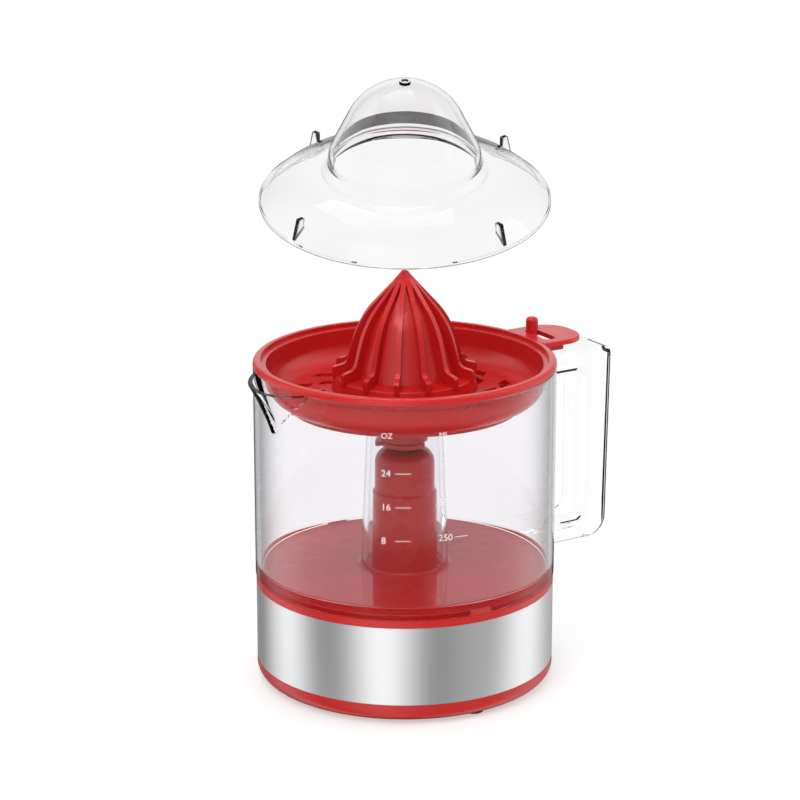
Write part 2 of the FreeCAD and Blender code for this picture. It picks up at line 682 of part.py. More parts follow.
def jug_handle():
    """Clear loop handle joined to the jug wall at both ends."""
    x0 = JUG_R - 4
    loop = slab([(x0, HANDLE_Z[0]), (HANDLE_R, HANDLE_Z[0], 10.0), (HANDLE_R, HANDLE_Z[1], 8.0),
                 (x0, HANDLE_Z[1])], -HANDLE_W / 2, HANDLE_W / 2)
    gap = slab([(x0 - 1, HANDLE_GAP_Z[0]), (HANDLE_GAP_R, HANDLE_GAP_Z[0], 6.0),
                (HANDLE_GAP_R, HANDLE_GAP_Z[1], 6.0), (x0 - 1, HANDLE_GAP_Z[1])],
               -HANDLE_W, HANDLE_W)
    loop = loop.cut(gap)
    edges = [e for e in loop.Edges if abs(abs(e.CenterOfMass.y) - HANDLE_W / 2) < 0.01
             and e.CenterOfMass.x > x0 + 0.5]
    loop = loop.makeFillet(2.0, edges)
    return loop.cut(cyl(JUG_R, 0, JUG_RIM_Z + 20))


def slot_cuts(z0, z1):
    """Leaning slots in rows round the dish floor."""
    cuts = []
    for row, (r0, r1) in enumerate(SLOT_ROWS):
        lean = SLOT_SKEW / 2
        half = SLOT_DEG / 2
        slot = prism([polar(r0, -lean - half), polar(r1, lean - half),
                      polar(r1, lean + half), polar(r0, -lean + half)], z0, z1)
        cuts += ring_of(slot, SLOTS, row * 180.0 / SLOTS)
    return cuts


def sieve():
    """Red dish with rim, lid ledge, hub, floor slots and adjuster tab."""
    locate = JUG_R - JUG_WALL - LOOSE
    floor = DISH_Z + DISH_T
    dish = lathe([
        (DISH_R, JUG_RIM_Z - 3.4), (locate, JUG_RIM_Z - 2.4), (locate, JUG_RIM_Z),
        (RIM_R, JUG_RIM_Z), (RIM_R, RIM_TOP, 2.2), (RIM_LIP_R, RIM_TOP, 0.5), (RIM_LIP_R, LEDGE_Z),
        (LEDGE_R, LEDGE_Z, 0.8), (DISH_R - DISH_T, floor, DISH_CORNER - DISH_T),
        (HUB_R[0] + 0.8, floor, 2.0), (HUB_R[0], HUB_Z[1]), (SLEEVE_R + RUN, HUB_Z[1]),
        (SLEEVE_R + RUN, HUB_Z[0]), (HUB_R[1], HUB_Z[0]), (HUB_R[1], DISH_Z),
        (DISH_R, DISH_Z, DISH_CORNER)])
    lug_z = DISH_Z - DISC_GAP - DISC_T
    lug = lathe([(HUB_R[1] - 0.5, lug_z), (HUB_R[1] + 2.2, lug_z), (HUB_R[1] - 0.5, lug_z - 3)], -9, 18)
    tab = tab_plate()
    dish = dish.fuse(ring_of(lug, 3, 60) + [tab])
    swing = PEG_TRAVEL + ARM_DEG + 2.4
    first = PEG_REST - PEG_TRAVEL - ARM_DEG / 2 - 1.2
    relief = lathe([(DISH_R, JUG_RIM_Z - 5), (locate + 0.1, JUG_RIM_Z - 5),
                    (locate + 0.1, JUG_RIM_Z), (DISH_R, JUG_RIM_Z)], first, swing)
    return dish.cut(slot_cuts(DISH_Z - 1, floor + 1) + [relief, peg_slot()])


def tab_plate():
    """Flat tab over the handle, with two short ribs under it beside the rim."""
    half = TAB_W / 2
    plate = block(RIM_LIP_R + 1, TAB_R, -half, half, RIM_TOP - TAB_T, RIM_TOP)
    corners = [e for e in plate.Edges if abs(e.CenterOfMass.x - TAB_R) < 0.01
               and abs(e.CenterOfMass.z - RIM_TOP + TAB_T / 2) < 0.01]
    plate = plate.makeFillet(TAB_CORNER, corners)
    rims = [e for e in plate.Edges if abs(e.CenterOfMass.z - RIM_TOP) < 0.01
            and e.CenterOfMass.x > RIM_LIP_R + 2]
    plate = plate.makeFillet(0.8, rims).cut(cyl(RIM_LIP_R + 1.2, 0, 200))
    y, thick, length, drop = TAB_RIB
    under = RIM_TOP - TAB_T
    rib = block(RIM_R + 0.3, RIM_R + length, y, y + thick, under - drop, under + 0.5)
    return plate.fuse([rib, rib.mirror(ORIGIN, FreeCAD.Vector(0, 1, 0))])


def peg_slot():
    """Curved slot in the tab for the adjuster peg."""
    reach = PEG_R + 0.3
    low = RIM_TOP - TAB_T - 1
    slot = lathe([(PEG_AT - reach, low), (PEG_AT + reach, low), (PEG_AT + reach, RIM_TOP + 1),
                  (PEG_AT - reach, RIM_TOP + 1)], PEG_REST - PEG_TRAVEL, PEG_TRAVEL)
    ends = [cyl(reach, low, RIM_TOP + 1, polar(PEG_AT, a))
            for a in (PEG_REST, PEG_REST - PEG_TRAVEL)]
    return slot.fuse(ends)


def pulp_adjuster():
    """Slotted disc under the dish with an arm out over the jug rim."""
    top = DISH_Z - DISC_GAP
    low = top - DISC_T
    disc = cyl(DISC_R[1], low, top).cut(cyl(DISC_R[0], 0, 200))
    disc = disc.cut(slot_cuts(low - 1, top + 1))
    inner = DISH_R + DISC_GAP
    outer = inner + DISC_T
    arm = lathe([(DISC_R[1] - 4, top), (inner, top, DISH_CORNER + DISC_GAP), (inner, ARM_Z[1]),
                 (ARM_R, ARM_Z[1]), (ARM_R, ARM_Z[0]), (outer, ARM_Z[0]),
                 (outer, low, DISH_CORNER + DISC_GAP + DISC_T), (DISC_R[1] - 4, low)],
                PEG_REST - ARM_DEG / 2, ARM_DEG)
    hole = cyl(1.5 + FIT, ARM_Z[0] - 1, ARM_Z[1] + 1, polar(PEG_AT, PEG_REST))
    return disc.fuse(arm).cut(hole)


def adjuster_peg():
    """Round-headed peg riveted into the adjuster arm."""
    peg = lathe([(0, ARM_Z[0]), (1.5, ARM_Z[0]), (1.5, ARM_Z[1]), (PEG_R, ARM_Z[1]),
                 (PEG_R, PEG_TOP, 1.8), (0, PEG_TOP)])
    return peg.translated(polar(PEG_AT, PEG_REST))


def drive_sleeve():
    """Turning sleeve in the dish hub that carries the drive to the reamer."""
    flange_r, flange_t = SLEEVE_FLANGE
    body = lathe([
        (0, SLEEVE_Z[0]), (SLEEVE_R, SLEEVE_Z[0], 0.4), (SLEEVE_R, CLIP_Z[0] - 0.1),
        (CLIP_GROOVE_R, CLIP_Z[0] - 0.1), (CLIP_GROOVE_R, CLIP_Z[1] + 0.1), (SLEEVE_R, CLIP_Z[1] + 0.1),
        (SLEEVE_R, HUB_Z[1]), (flange_r, HUB_Z[1]), (flange_r, HUB_Z[1] + flange_t),
        (0, HUB_Z[1] + flange_t)])
    body = body.fuse(hexagon(SLEEVE_HEX, HUB_Z[1] + flange_t - 0.5, SLEEVE_Z[1]))
    return body.cut(double_d(SHAFT_FLATS + 2 * SLIDE, 0, 200, SHAFT_R + RUN))


def sleeve_clip():
    """Open ring with a finger tab, sprung into the sleeve's groove."""
    ring = tube(CLIP_R, CLIP_GROOVE_R + FIT, *CLIP_Z)
    tab = lathe([(CLIP_R - 1, CLIP_Z[0]), (CLIP_TAB_R, CLIP_Z[0], 0.5), (CLIP_TAB_R, CLIP_Z[1], 0.5),
                 (CLIP_R - 1, CLIP_Z[1])], -16, 32)
    mouth = block(-CLIP_TAB_R, 0, -5.2, 5.2, CLIP_Z[0] - 1, CLIP_Z[1] + 1)
    clip = ring.fuse(tab).cut(mouth)
    clip.rotate(ORIGIN, Z_AXIS, CLIP_ANGLE)
    return clip


def reamer():
    """Hollow ribbed cone on a flared skirt, resting on the shaft tip."""
    foot_r, skirt_r = REAMER_SKIRT_R
    waist_r, waist_z = REAMER_WAIST

    def cone(inset, low):
        shoulder = REAMER_Z0 - inset
        return lathe([(0, low), (foot_r - inset, low), (skirt_r - inset, shoulder, 0.6),
                      (REAMER_CONE_R - inset, shoulder + 1.2), (waist_r - inset, waist_z, 40.0),
                      (2.0, REAMER_TOP - 3.0 - 2 * inset), (0, REAMER_TOP - 3.0 - 2 * inset)])

    shell = cone(0.0, REAMER_SKIRT_Z0)
    hollow = cone(REAMER_WALL, REAMER_SKIRT_Z0 - 1)
    boss = cyl(REAMER_BOSS_R, HUB_Z[1] + SLEEVE_FLANGE[1] + PRESS + 0.5, REAMER_TOP - 7.0)
    body = shell.cut(hollow.cut(boss))
    rib = slab([(1.0, REAMER_Z0 - 1), (skirt_r - 2, REAMER_Z0 - 1), (REAMER_RIB_R, REAMER_Z0 - 1),
                (REAMER_RIB_R, REAMER_Z0 + REAMER_RIB_H, 1.4), (REAMER_CONE_R + 2.2, REAMER_Z0 + 6.0, 4.0),
                (waist_r + 4.6, waist_z, 40.0), (1.0, REAMER_TOP)], -REAMER_RIB_T / 2, REAMER_RIB_T / 2)
    tip = Part.makeSphere(3.4, FreeCAD.Vector(0, 0, REAMER_TOP - 4.0))
    body = body.fuse([r.cut(hollow) for r in ring_of(rib, REAMER_RIBS)] + [tip])
    return body.cut(hexagon(SLEEVE_HEX + 2 * SLIDE, REAMER_SKIRT_Z0 - 2, SHAFT_Z[1]))


def lid():
    """Clear domed lid with a sloping brim, four fins standing on it and a small nub."""

    def surface(inset):
        edge = LID_R - inset
        draft = math.radians(DOME_DRAFT)
        collar = DOME_COLLAR_Z - inset * math.tan(draft / 2)
        cap = DOME_R - inset - (LID_H - inset - collar) * math.tan(draft)
        cap_r = 0.995 * cap * math.tan(math.pi / 4 + draft / 2)
        return [(edge, LID_EDGE - inset, 1.0 if inset == 0 else 0.0),
                (BRIM_BEND[0] - inset / 2, BRIM_BEND[1] - inset, 40.0),
                (DOME_R - inset, LID_RISE - inset, 5.0), (DOME_R - inset, collar, 10.0),
                (cap, LID_H - inset, cap_r), (0, LID_H - inset)]

    outside = lathe([(0, 0), (LID_R, 0)] + surface(0.0))
    edge = LID_R - LID_T
    inside = lathe([(0, -1), (edge, -1)] + surface(LID_T))
    shell = outside.cut(inside)
    foot, outer, inner = (LID_R - step for step in LID_RIB)
    fin = slab([(foot, LID_EDGE / 2), (outer, LID_RIB_H, 0.8), (inner, LID_RIB_H, 0.8), (inner, LID_EDGE / 2)],
               -LID_RIB_T / 2, LID_RIB_T / 2).cut(inside)
    nub = cyl(NUB_R, LID_H - 1.0, LID_H + NUB_H)
    shell = shell.fuse(ring_of(fin, LID_RIBS, LID_RIB_ANGLE) + [nub])
    shell.translate(FreeCAD.Vector(0, 0, LEDGE_Z))
    away = LID_RAISED / 2 / math.tan(math.radians(LID_LEAN / 2))
    shell.rotate(polar(away, LID_FACES, LEDGE_Z + LID_RAISED / 2), polar(1, LID_FACES + 90), LID_LEAN)
    return shell


PIECES = (
    base_pan, base_feet, base_screws, steel_band, base_cover, upper_bush, tower_seal, cord_gland,
    gear_plate, plate_screws, lower_bush, idler_pin, idler_clip, idler_gear, output_gear,
    drive_shaft, spring_seat, return_spring, motor_case, motor_end_plate, motor_screws, motor_coil,
    rotor_magnet, rotor_shaft, motor_pinion, switch_body, switch_lever, switch_button, jug,
    jug_handle, sieve, pulp_adjuster, adjuster_peg, drive_sleeve, sleeve_clip, reamer, lid,
)

os.makedirs("parts", exist_ok=True)
for piece in PIECES:
    shape = piece().removeSplitter().translated(FreeCAD.Vector(AXIS_X, 0, 0))
    shape.exportStep("parts/" + piece.__name__ + ".step")
    print(piece.__name__, len(shape.Solids), shape.isValid(), round(shape.Volume, 1))
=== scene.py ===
"""Dressed scene of a citrus press juicer: finishes, smooth forms, printed scale and studio."""

import json
import logging
import math
from dataclasses import dataclass, field
from enum import Enum
from typing import Callable, Dict, List, Optional, Sequence, Tuple

import bmesh
import bpy
from mathutils import Matrix, Vector

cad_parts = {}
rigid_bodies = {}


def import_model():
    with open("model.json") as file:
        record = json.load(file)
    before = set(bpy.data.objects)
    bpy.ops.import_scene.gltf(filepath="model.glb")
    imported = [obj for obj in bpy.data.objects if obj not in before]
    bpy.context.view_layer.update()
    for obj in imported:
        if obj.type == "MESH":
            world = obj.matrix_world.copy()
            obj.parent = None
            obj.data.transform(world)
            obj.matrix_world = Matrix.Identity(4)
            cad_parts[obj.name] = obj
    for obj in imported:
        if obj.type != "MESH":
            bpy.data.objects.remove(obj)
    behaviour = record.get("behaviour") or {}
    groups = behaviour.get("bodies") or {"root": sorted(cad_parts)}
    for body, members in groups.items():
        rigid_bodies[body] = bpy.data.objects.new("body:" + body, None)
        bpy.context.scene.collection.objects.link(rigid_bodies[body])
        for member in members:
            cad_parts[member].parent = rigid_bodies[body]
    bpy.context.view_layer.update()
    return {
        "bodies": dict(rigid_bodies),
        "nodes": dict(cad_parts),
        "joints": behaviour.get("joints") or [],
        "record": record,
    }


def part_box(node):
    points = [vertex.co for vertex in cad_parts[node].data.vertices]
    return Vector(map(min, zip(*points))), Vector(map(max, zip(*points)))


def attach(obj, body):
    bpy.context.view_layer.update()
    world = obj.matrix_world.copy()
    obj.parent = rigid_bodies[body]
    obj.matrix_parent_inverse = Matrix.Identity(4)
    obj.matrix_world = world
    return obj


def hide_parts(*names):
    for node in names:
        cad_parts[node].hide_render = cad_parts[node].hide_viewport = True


LOG = logging.getLogger("juicer")
MM = 0.001
Socket = bpy.types.NodeSocket
Profile = List[Tuple[float, float]]
Colour = Tuple[float, float, float, float]
# Pale painted edge shade for clear plastic met at grazing angles.
PALE_EDGE_SHADE: Colour = (0.62, 0.63, 0.64, 1.0)


class Slot(Enum):
    """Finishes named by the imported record."""

    RED = "red_plastic"
    CLEAR = "clear_plastic"
    BAND = "brushed_band"
    STEEL = "plain_steel"
    RUBBER = "dark_rubber"
    NYLON = "white_nylon"
    BRONZE = "bronze_bush"
    COPPER = "copper_coil"
    MAGNET = "dark_magnet"
    SWITCH = "black_switch"


class Graph:
    """Adds and links the nodes of one node tree."""

    def __init__(self, tree: bpy.types.NodeTree) -> None:
        """Keeps the tree that the nodes go into."""
        self.tree = tree

    def node(self, kind: str, **settings: object) -> bpy.types.Node:
        """Adds one node.

        Args:
            kind: Node type.
            settings: Properties to set on it.

        Returns:
            The new node.
        """
        made = self.tree.nodes.new(kind)
        for name, value in settings.items():
            setattr(made, name, value)
        return made

    def feed(self, target: Socket, value: object) -> None:
        """Links a socket to an input, or sets the input to a plain value.

        Args:
            target: Input socket.
            value: Output socket, number, colour or vector.
        """
        if isinstance(value, bpy.types.NodeSocket):
            self.tree.links.new(value, target)
        else:
            target.default_value = value

    def math(self, operation: str, first: object, second: object = 0.0) -> Socket:
        """Adds a Math node.

        Args:
            operation: Name of the operation.
            first: Socket or number.
            second: Socket or number.

        Returns:
            The result's socket.
        """
        made = self.node("ShaderNodeMath", operation=operation)
        self.feed(made.inputs[0], first)
        self.feed(made.inputs[1], second)
        return made.outputs[0]

    def mix(self, factor: object, first: object, second: object) -> Socket:
        """Mixes two colours.

        Args:
            factor: Socket or number from 0 to 1.
            first: Colour at 0.
            second: Colour at 1.

        Returns:
            The mixed colour's socket.
        """
        made = self.node("ShaderNodeMix", data_type="RGBA")
        self.feed(made.inputs[0], factor)
        self.feed(made.inputs[6], first)
        self.feed(made.inputs[7], second)
        return made.outputs[2]

    def span(self, value: Socket, low: float, high: float) -> Socket:
        """Maps a 0 to 1 value onto a range.

        Args:
            value: Socket from 0 to 1.
            low: Result at 0.
            high: Result at 1.

        Returns:
            The mapped value's socket.
        """
        made = self.node("ShaderNodeMapRange")
        self.feed(made.inputs["Value"], value)
        self.feed(made.inputs["To Min"], low)
        self.feed(made.inputs["To Max"], high)
        return made.outputs["Result"]

    def ramp(self, value: Socket, stops: Sequence[Tuple[float, float]], easing: str = "EASE") -> Socket:
        """Grey ramp over a 0 to 1 value.

        Args:
            value: Socket from 0 to 1.
            stops: Pairs of position and grey level.
            easing: Interpolation between the stops.

        Returns:
            The ramp's colour socket.
        """
        made = self.node("ShaderNodeValToRGB")
        made.color_ramp.interpolation = easing
        elements = made.color_ramp.elements
        while len(elements) < len(stops):
            elements.new(0.5)
        for element, (place, grey) in zip(elements, stops):
            element.position = place
            element.color = (grey, grey, grey, 1.0)
        self.feed(made.inputs[0], value)
        return made.outputs[0]

    def noise(self, vector: Socket, scale: object, detail: float = 3.0, rough: float = 0.5) -> Socket:
        """Fractal noise.

        Args:
            vector: Place socket.
            scale: Socket or number, waves per metre.
            detail: Octaves.
            rough: Share of the finer octaves.

        Returns:
            The noise value's socket.
        """
        made = self.node("ShaderNodeTexNoise")
        self.feed(made.inputs["Vector"], vector)
        self.feed(made.inputs["Scale"], scale)
        made.inputs["Detail"].default_value = detail
        made.inputs["Roughness"].default_value = rough
        return made.outputs[0]

    def place(self) -> Socket:
        """Object coordinates."""
        return self.node("ShaderNodeTexCoord").outputs["Object"]

    def bump(self, height: Socket, strength: float, depth: float) -> Socket:
        """Bump normal from a height.

        Args:
            height: Height socket from 0 to 1.
            strength: Weight of the effect.
            depth: Real depth in metres.

        Returns:
            The normal's socket.
        """
        made = self.node("ShaderNodeBump")
        made.inputs["Strength"].default_value = strength
        made.inputs["Distance"].default_value = depth
        self.feed(made.inputs["Height"], height)
        return made.outputs["Normal"]

    def use(self, group: bpy.types.NodeTree, **values: object) -> bpy.types.Node:
        """Places a shared effect.

        Args:
            group: Shader node group.
            values: Its inputs by name, with underscores for spaces.

        Returns:
            The group node.
        """
        made = self.node("ShaderNodeGroup", node_tree=group)
        for name, value in values.items():
            self.feed(made.inputs[name.replace("_", " ")], value)
        return made


class Effects:
    """Shared surface effects, each one shader node group."""

    def __init__(self, axis_x: float) -> None:
        """Builds the groups.

        Args:
            axis_x: Place of the drive axis along X.
        """
        self.axis_x = axis_x
        scales = ("Fine Scale", "Broad Scale")
        self.grain = self._group("moulded_grain", scales, ("Height", "Tone"), self._grain)
        self.brush = self._group("brush_lines", ("Density",), ("Lines", "Lay"), self._brush)
        self.marks = self._group("handling_marks", ("Scale",), ("Mask",), self._marks)

    def _group(
        self,
        name: str,
        values: Sequence[str],
        results: Sequence[str],
        fill: Callable[[Graph, Dict[str, Socket], Dict[str, Socket]], None],
    ) -> bpy.types.NodeTree:
        """Makes an empty group with named sockets and fills it.

        Args:
            name: Group name.
            values: Names of its number inputs, after Vector.
            results: Names of its outputs.
            fill: Adds the nodes between the sockets.

        Returns:
            The node group.
        """
        tree = bpy.data.node_groups.new(name, "ShaderNodeTree")
        tree.interface.new_socket("Vector", in_out="INPUT", socket_type="NodeSocketVector")
        for value in values:
            tree.interface.new_socket(value, in_out="INPUT", socket_type="NodeSocketFloat")
        for result in results:
            tree.interface.new_socket(result, in_out="OUTPUT", socket_type="NodeSocketFloat")
        graph = Graph(tree)
        start = graph.node("NodeGroupInput")
        end = graph.node("NodeGroupOutput")
        fill(graph, {s.name: s for s in start.outputs}, {s.name: s for s in end.inputs})
        return tree

    @staticmethod
    def _grain(graph: Graph, values: Dict[str, Socket], results: Dict[str, Socket]) -> None:
        """Fine moulded texture over slow flow marks.

        Args:
            graph: Graph of the group.
            values: Inputs by name.
            results: Outputs by name.
        """
        fine = graph.noise(values["Vector"], values["Fine Scale"], 2.0)
        broad = graph.noise(values["Vector"], values["Broad Scale"], 3.0, 0.55)
        height = graph.math("ADD", graph.math("MULTIPLY", fine, 0.35), graph.math("MULTIPLY", broad, 0.65))
        graph.feed(results["Height"], height)
        graph.feed(results["Tone"], broad)

    def _brush(self, graph: Graph, values: Dict[str, Socket], results: Dict[str, Socket]) -> None:
        """Fine lines round the drive axis, and a slow change round the axis that is partly their lay and
        partly painted reflection streaks.

        Args:
            graph: Graph of the group.
            values: Inputs by name.
            results: Outputs by name.
        """
        parts = graph.node("ShaderNodeSeparateXYZ")
        graph.feed(parts.inputs[0], values["Vector"])
        across = graph.math("SUBTRACT", parts.outputs["X"], self.axis_x)
        flat = graph.node("ShaderNodeCombineXYZ")
        graph.feed(flat.inputs["X"], across)
        graph.feed(flat.inputs["Y"], parts.outputs["Y"])
        round_way = graph.node("ShaderNodeVectorMath", operation="NORMALIZE")
        graph.feed(round_way.inputs[0], flat.outputs[0])
        turned = graph.node("ShaderNodeSeparateXYZ")
        graph.feed(turned.inputs[0], round_way.outputs[0])
        line = graph.node("ShaderNodeCombineXYZ")
        graph.feed(line.inputs["X"], turned.outputs["X"])
        graph.feed(line.inputs["Y"], turned.outputs["Y"])
        graph.feed(line.inputs["Z"], graph.math("MULTIPLY", parts.outputs["Z"], values["Density"]))
        graph.feed(results["Lines"], graph.noise(line.outputs[0], 3.0, 6.0, 0.72))
        # Slow tone change round the axis: partly brush lay, partly painted reflection streaks.
        graph.feed(results["Lay"], graph.noise(round_way.outputs[0], 2.6, 1.0))

    @staticmethod
    def _marks(graph: Graph, values: Dict[str, Socket], results: Dict[str, Socket]) -> None:
        """Soft wiped patches left by handling.

        Args:
            graph: Graph of the group.
            values: Inputs by name.
            results: Outputs by name.
        """
        cloud = graph.noise(values["Vector"], values["Scale"], 4.0, 0.6)
        patch = graph.node("ShaderNodeMapRange", interpolation_type="SMOOTHSTEP")
        graph.feed(patch.inputs["Value"], cloud)
        patch.inputs["From Min"].default_value = 0.46
        patch.inputs["From Max"].default_value = 0.72
        graph.feed(results["Mask"], patch.outputs["Result"])


def start_material(name: str) -> Tuple[bpy.types.Material, Graph, bpy.types.Node, bpy.types.Node]:
    """Makes a material with one Principled shader.

    Args:
        name: Material name.

    Returns:
        The material, its graph, the shader and the output node.
    """
    material = bpy.data.materials.new(name)
    material.use_nodes = True
    material.node_tree.nodes.clear()
    graph = Graph(material.node_tree)
    end = graph.node("ShaderNodeOutputMaterial")
    shader = graph.node("ShaderNodeBsdfPrincipled")
    graph.feed(end.inputs["Surface"], shader.outputs[0])
    return material, graph, shader, end


@dataclass(frozen=True)
class MouldedFinish:
    """Opaque moulded plastic or rubber."""

    name: str
    colour: Colour
    deep: Colour
    roughness: Tuple[float, float]
    fine: float = 2600.0
    broad: float = 28.0
    depth: float = 0.00006
    coat: float = 0.0
    coat_rough: float = 0.12
    shine: float = 0.4
    wear: float = 46.0
    relief: float = 0.22

    def build(self, effects: Effects) -> bpy.types.Material:
        """Makes the material.

        Args:
            effects: Shared node groups.

        Returns:
            The finished material.
        """
        material, graph, shader, _ = start_material(self.name)
        place = graph.place()
        grain = graph.use(effects.grain, Vector=place, Fine_Scale=self.fine, Broad_Scale=self.broad)
        marks = graph.use(effects.marks, Vector=place, Scale=self.wear)
        graph.feed(shader.inputs["Base Color"], graph.mix(grain.outputs["Tone"], self.colour, self.deep))
        graph.feed(shader.inputs["Roughness"], graph.span(marks.outputs["Mask"], *self.roughness))
        graph.feed(shader.inputs["Normal"], graph.bump(grain.outputs["Height"], self.relief, self.depth))
        shader.inputs["Specular IOR Level"].default_value = self.shine
        shader.inputs["Coat Weight"].default_value = self.coat
        shader.inputs["Coat Roughness"].default_value = self.coat_rough
        return material


@dataclass(frozen=True)
class ClearFinish:
    """Polished clear plastic with painted edge shade: grey where the surface is met flatly, partly the grey
    of long edge paths, partly painted shade for dark outlines.
    """

    name: str
    face: Colour = (0.955, 0.944, 0.962, 1.0)
    # Edge colour: painted edge shade at grazing angles.
    edge: Colour = (0.17, 0.18, 0.19, 1.0)
    reach: Tuple[float, float] = (0.38, 0.97)
    shine: Colour = (0.15, 0.15, 0.15, 1.0)
    index: float = 1.5
    # Near-black painted shade for the side looked at from the open, or None.
    painted_shade: Optional[Colour] = None
    wear: float = 30.0
    ripple: Tuple[float, float] = (160.0, 34.0)
    relief: Tuple[float, float] = (0.02, 0.0002)
    polish: Tuple[float, float] = (0.0, 0.012)
    passed: Colour = (0.96, 0.965, 0.97, 1.0)

    def build(self, effects: Effects) -> bpy.types.Material:
        """Makes the material, which lets lamp light through.

        Args:
            effects: Shared node groups.

        Returns:
            The finished material.
        """
        material, graph, shader, end = start_material(self.name)
        place = graph.place()
        fine, broad = self.ripple
        marks = graph.use(effects.marks, Vector=place, Scale=self.wear)
        grain = graph.use(effects.grain, Vector=place, Fine_Scale=fine, Broad_Scale=broad)
        graph.feed(shader.inputs["Base Color"], self.tint(graph, place))
        graph.feed(shader.inputs["Roughness"], graph.span(marks.outputs["Mask"], *self.polish))
        graph.feed(shader.inputs["Normal"], graph.bump(grain.outputs["Height"], *self.relief))
        shader.inputs["Transmission Weight"].default_value = 1.0
        shader.inputs["IOR"].default_value = self.index
        shader.inputs["Specular Tint"].default_value = self.shine
        through = graph.node("ShaderNodeBsdfTransparent")
        through.inputs["Color"].default_value = self.passed
        path = graph.node("ShaderNodeLightPath")
        mixer = graph.node("ShaderNodeMixShader")
        lamp = graph.math("MAXIMUM", path.outputs["Is Shadow Ray"], path.outputs["Is Diffuse Ray"])
        graph.feed(mixer.inputs[0], lamp)
        graph.feed(mixer.inputs[1], shader.outputs[0])
        graph.feed(mixer.inputs[2], through.outputs[0])
        graph.feed(end.inputs["Surface"], mixer.outputs[0])
        return material

    def tint(self, graph: Graph, place: Socket) -> object:
        """Colour that goes from face to edge as the surface is met more flatly; the edge colour is painted
        edge shade.

        Args:
            graph: Node graph to add to.
            place: Object coordinates.

        Returns:
            The colour's socket, or the plain colour where face and edge are the same.
        """
        if self.face == self.edge:
            return self.face
        weight = graph.node("ShaderNodeLayerWeight")
        weight.inputs["Blend"].default_value = 0.5
        rim = graph.node("ShaderNodeMapRange", interpolation_type="SMOOTHSTEP")
        graph.feed(rim.inputs["Value"], weight.outputs["Facing"])
        rim.inputs["From Min"].default_value = self.reach[0]
        rim.inputs["From Max"].default_value = self.reach[1]
        tint = graph.mix(rim.outputs["Result"], self.face, self.edge)
        return tint if self.painted_shade is None else self.darken(graph, place, tint)

    def darken(self, graph: Graph, place: Socket, tint: Socket) -> Socket:
        """Paints an uneven near-black shade on the side that is looked at from the open, a painted dark
        band.

        Args:
            graph: Node graph to add to.
            place: Object coordinates.
            tint: Colour of the other side.

        Returns:
            The colour's socket.
        """
        # Painted shade: uneven near-black on front faces, the plain tint on back faces.
        lighter = tuple(2.4 * c for c in self.painted_shade[:3]) + (1.0,)
        uneven = graph.mix(graph.noise(place, 16.0, 1.0), self.painted_shade, lighter)
        behind = graph.node("ShaderNodeNewGeometry").outputs["Backfacing"]
        return graph.mix(behind, uneven, tint)


class Glazing(Enum):
    """Clear plastic by the place where it lies on a piece, each with painted edge shade; some paint dark
    shade lines and bands.
    """

    # Each glazing's edge colour is painted edge shade; EDGE, BEND, GRIP and COLLAR also paint dark lines
    # and bands.
    WALL = ClearFinish("clear_polished")
    SOFT = ClearFinish("clear_soft", edge=PALE_EDGE_SHADE, reach=(0.72, 1.0))
    PIPE = ClearFinish("clear_pipe", edge=(0.30, 0.31, 0.33, 1.0), reach=(0.60, 1.0))
    LIP = ClearFinish("clear_lip", edge=(0.18, 0.18, 0.19, 1.0), reach=(0.72, 1.0), index=1.04)
    ARM = ClearFinish("clear_arm", (0.985, 0.985, 0.985, 1.0), PALE_EDGE_SHADE, (0.60, 1.0), index=1.12)
    # GRIP: painted dark outline shade on the handle's front faces.
    GRIP = ClearFinish("clear_grip", edge=PALE_EDGE_SHADE, index=1.12, painted_shade=(0.0002, 0.0002, 0.0002, 1.0))
    FOOT = ClearFinish("clear_foot", edge=(0.90, 0.88, 0.88, 1.0), index=1.0)
    LID = ClearFinish("clear_lid", (0.925, 0.925, 0.93, 1.0), (0.55, 0.56, 0.57, 1.0), (0.72, 1.0))
    # EDGE: near-black painted shade lines on spout, lid and fin edges.
    EDGE = ClearFinish("clear_edge", (0.03, 0.03, 0.032, 1.0), (0.01, 0.01, 0.011, 1.0), index=1.12)
    # BEND: near-black painted shade line across the handle's bend.
    BEND = ClearFinish("clear_bend", (0.003, 0.003, 0.003, 1.0), (0.003, 0.003, 0.003, 1.0), index=1.0)
    # COLLAR: painted dark shade band on the lid collar's front faces.
    COLLAR = ClearFinish("clear_collar", edge=PALE_EDGE_SHADE, reach=(0.72, 1.0), painted_shade=(0.018, 0.018, 0.019, 1.0))


@dataclass(frozen=True)
class BrushedFinish:
    """Steel brushed in lines round the drive axis, its tone partly painted reflection streaks."""

    name: str
    light: Colour = (0.92, 0.92, 0.925, 1.0)
    dark: Colour = (0.72, 0.72, 0.725, 1.0)
    density: float = 900.0
    weights: Tuple[float, float] = (0.55, 0.45)
    roughness: Tuple[float, float] = (0.34, 0.52)
    relief: Tuple[float, float] = (0.12, 0.00002)
    stretch: float = 0.92
    turn: float = 0.25

    def build(self, effects: Effects) -> bpy.types.Material:
        """Makes the material.

        Args:
            effects: Shared node groups.

        Returns:
            The finished material.
        """
        material, graph, shader, _ = start_material(self.name)
        brush = graph.use(effects.brush, Vector=graph.place(), Density=self.density)
        # Base colour tone: brush lines plus the lay, which is partly painted reflection streaks.
        tone = graph.math(
            "ADD",
            graph.math("MULTIPLY", brush.outputs["Lines"], self.weights[0]),
            graph.math("MULTIPLY", brush.outputs["Lay"], self.weights[1]),
        )
        graph.feed(shader.inputs["Base Color"], graph.mix(tone, self.dark, self.light))
        graph.feed(shader.inputs["Roughness"], graph.span(brush.outputs["Lines"], *self.roughness))
        graph.feed(shader.inputs["Normal"], graph.bump(brush.outputs["Lines"], *self.relief))
        shader.inputs["Metallic"].default_value = 1.0
        shader.inputs["Anisotropic"].default_value = self.stretch
        shader.inputs["Anisotropic Rotation"].default_value = self.turn
        return material


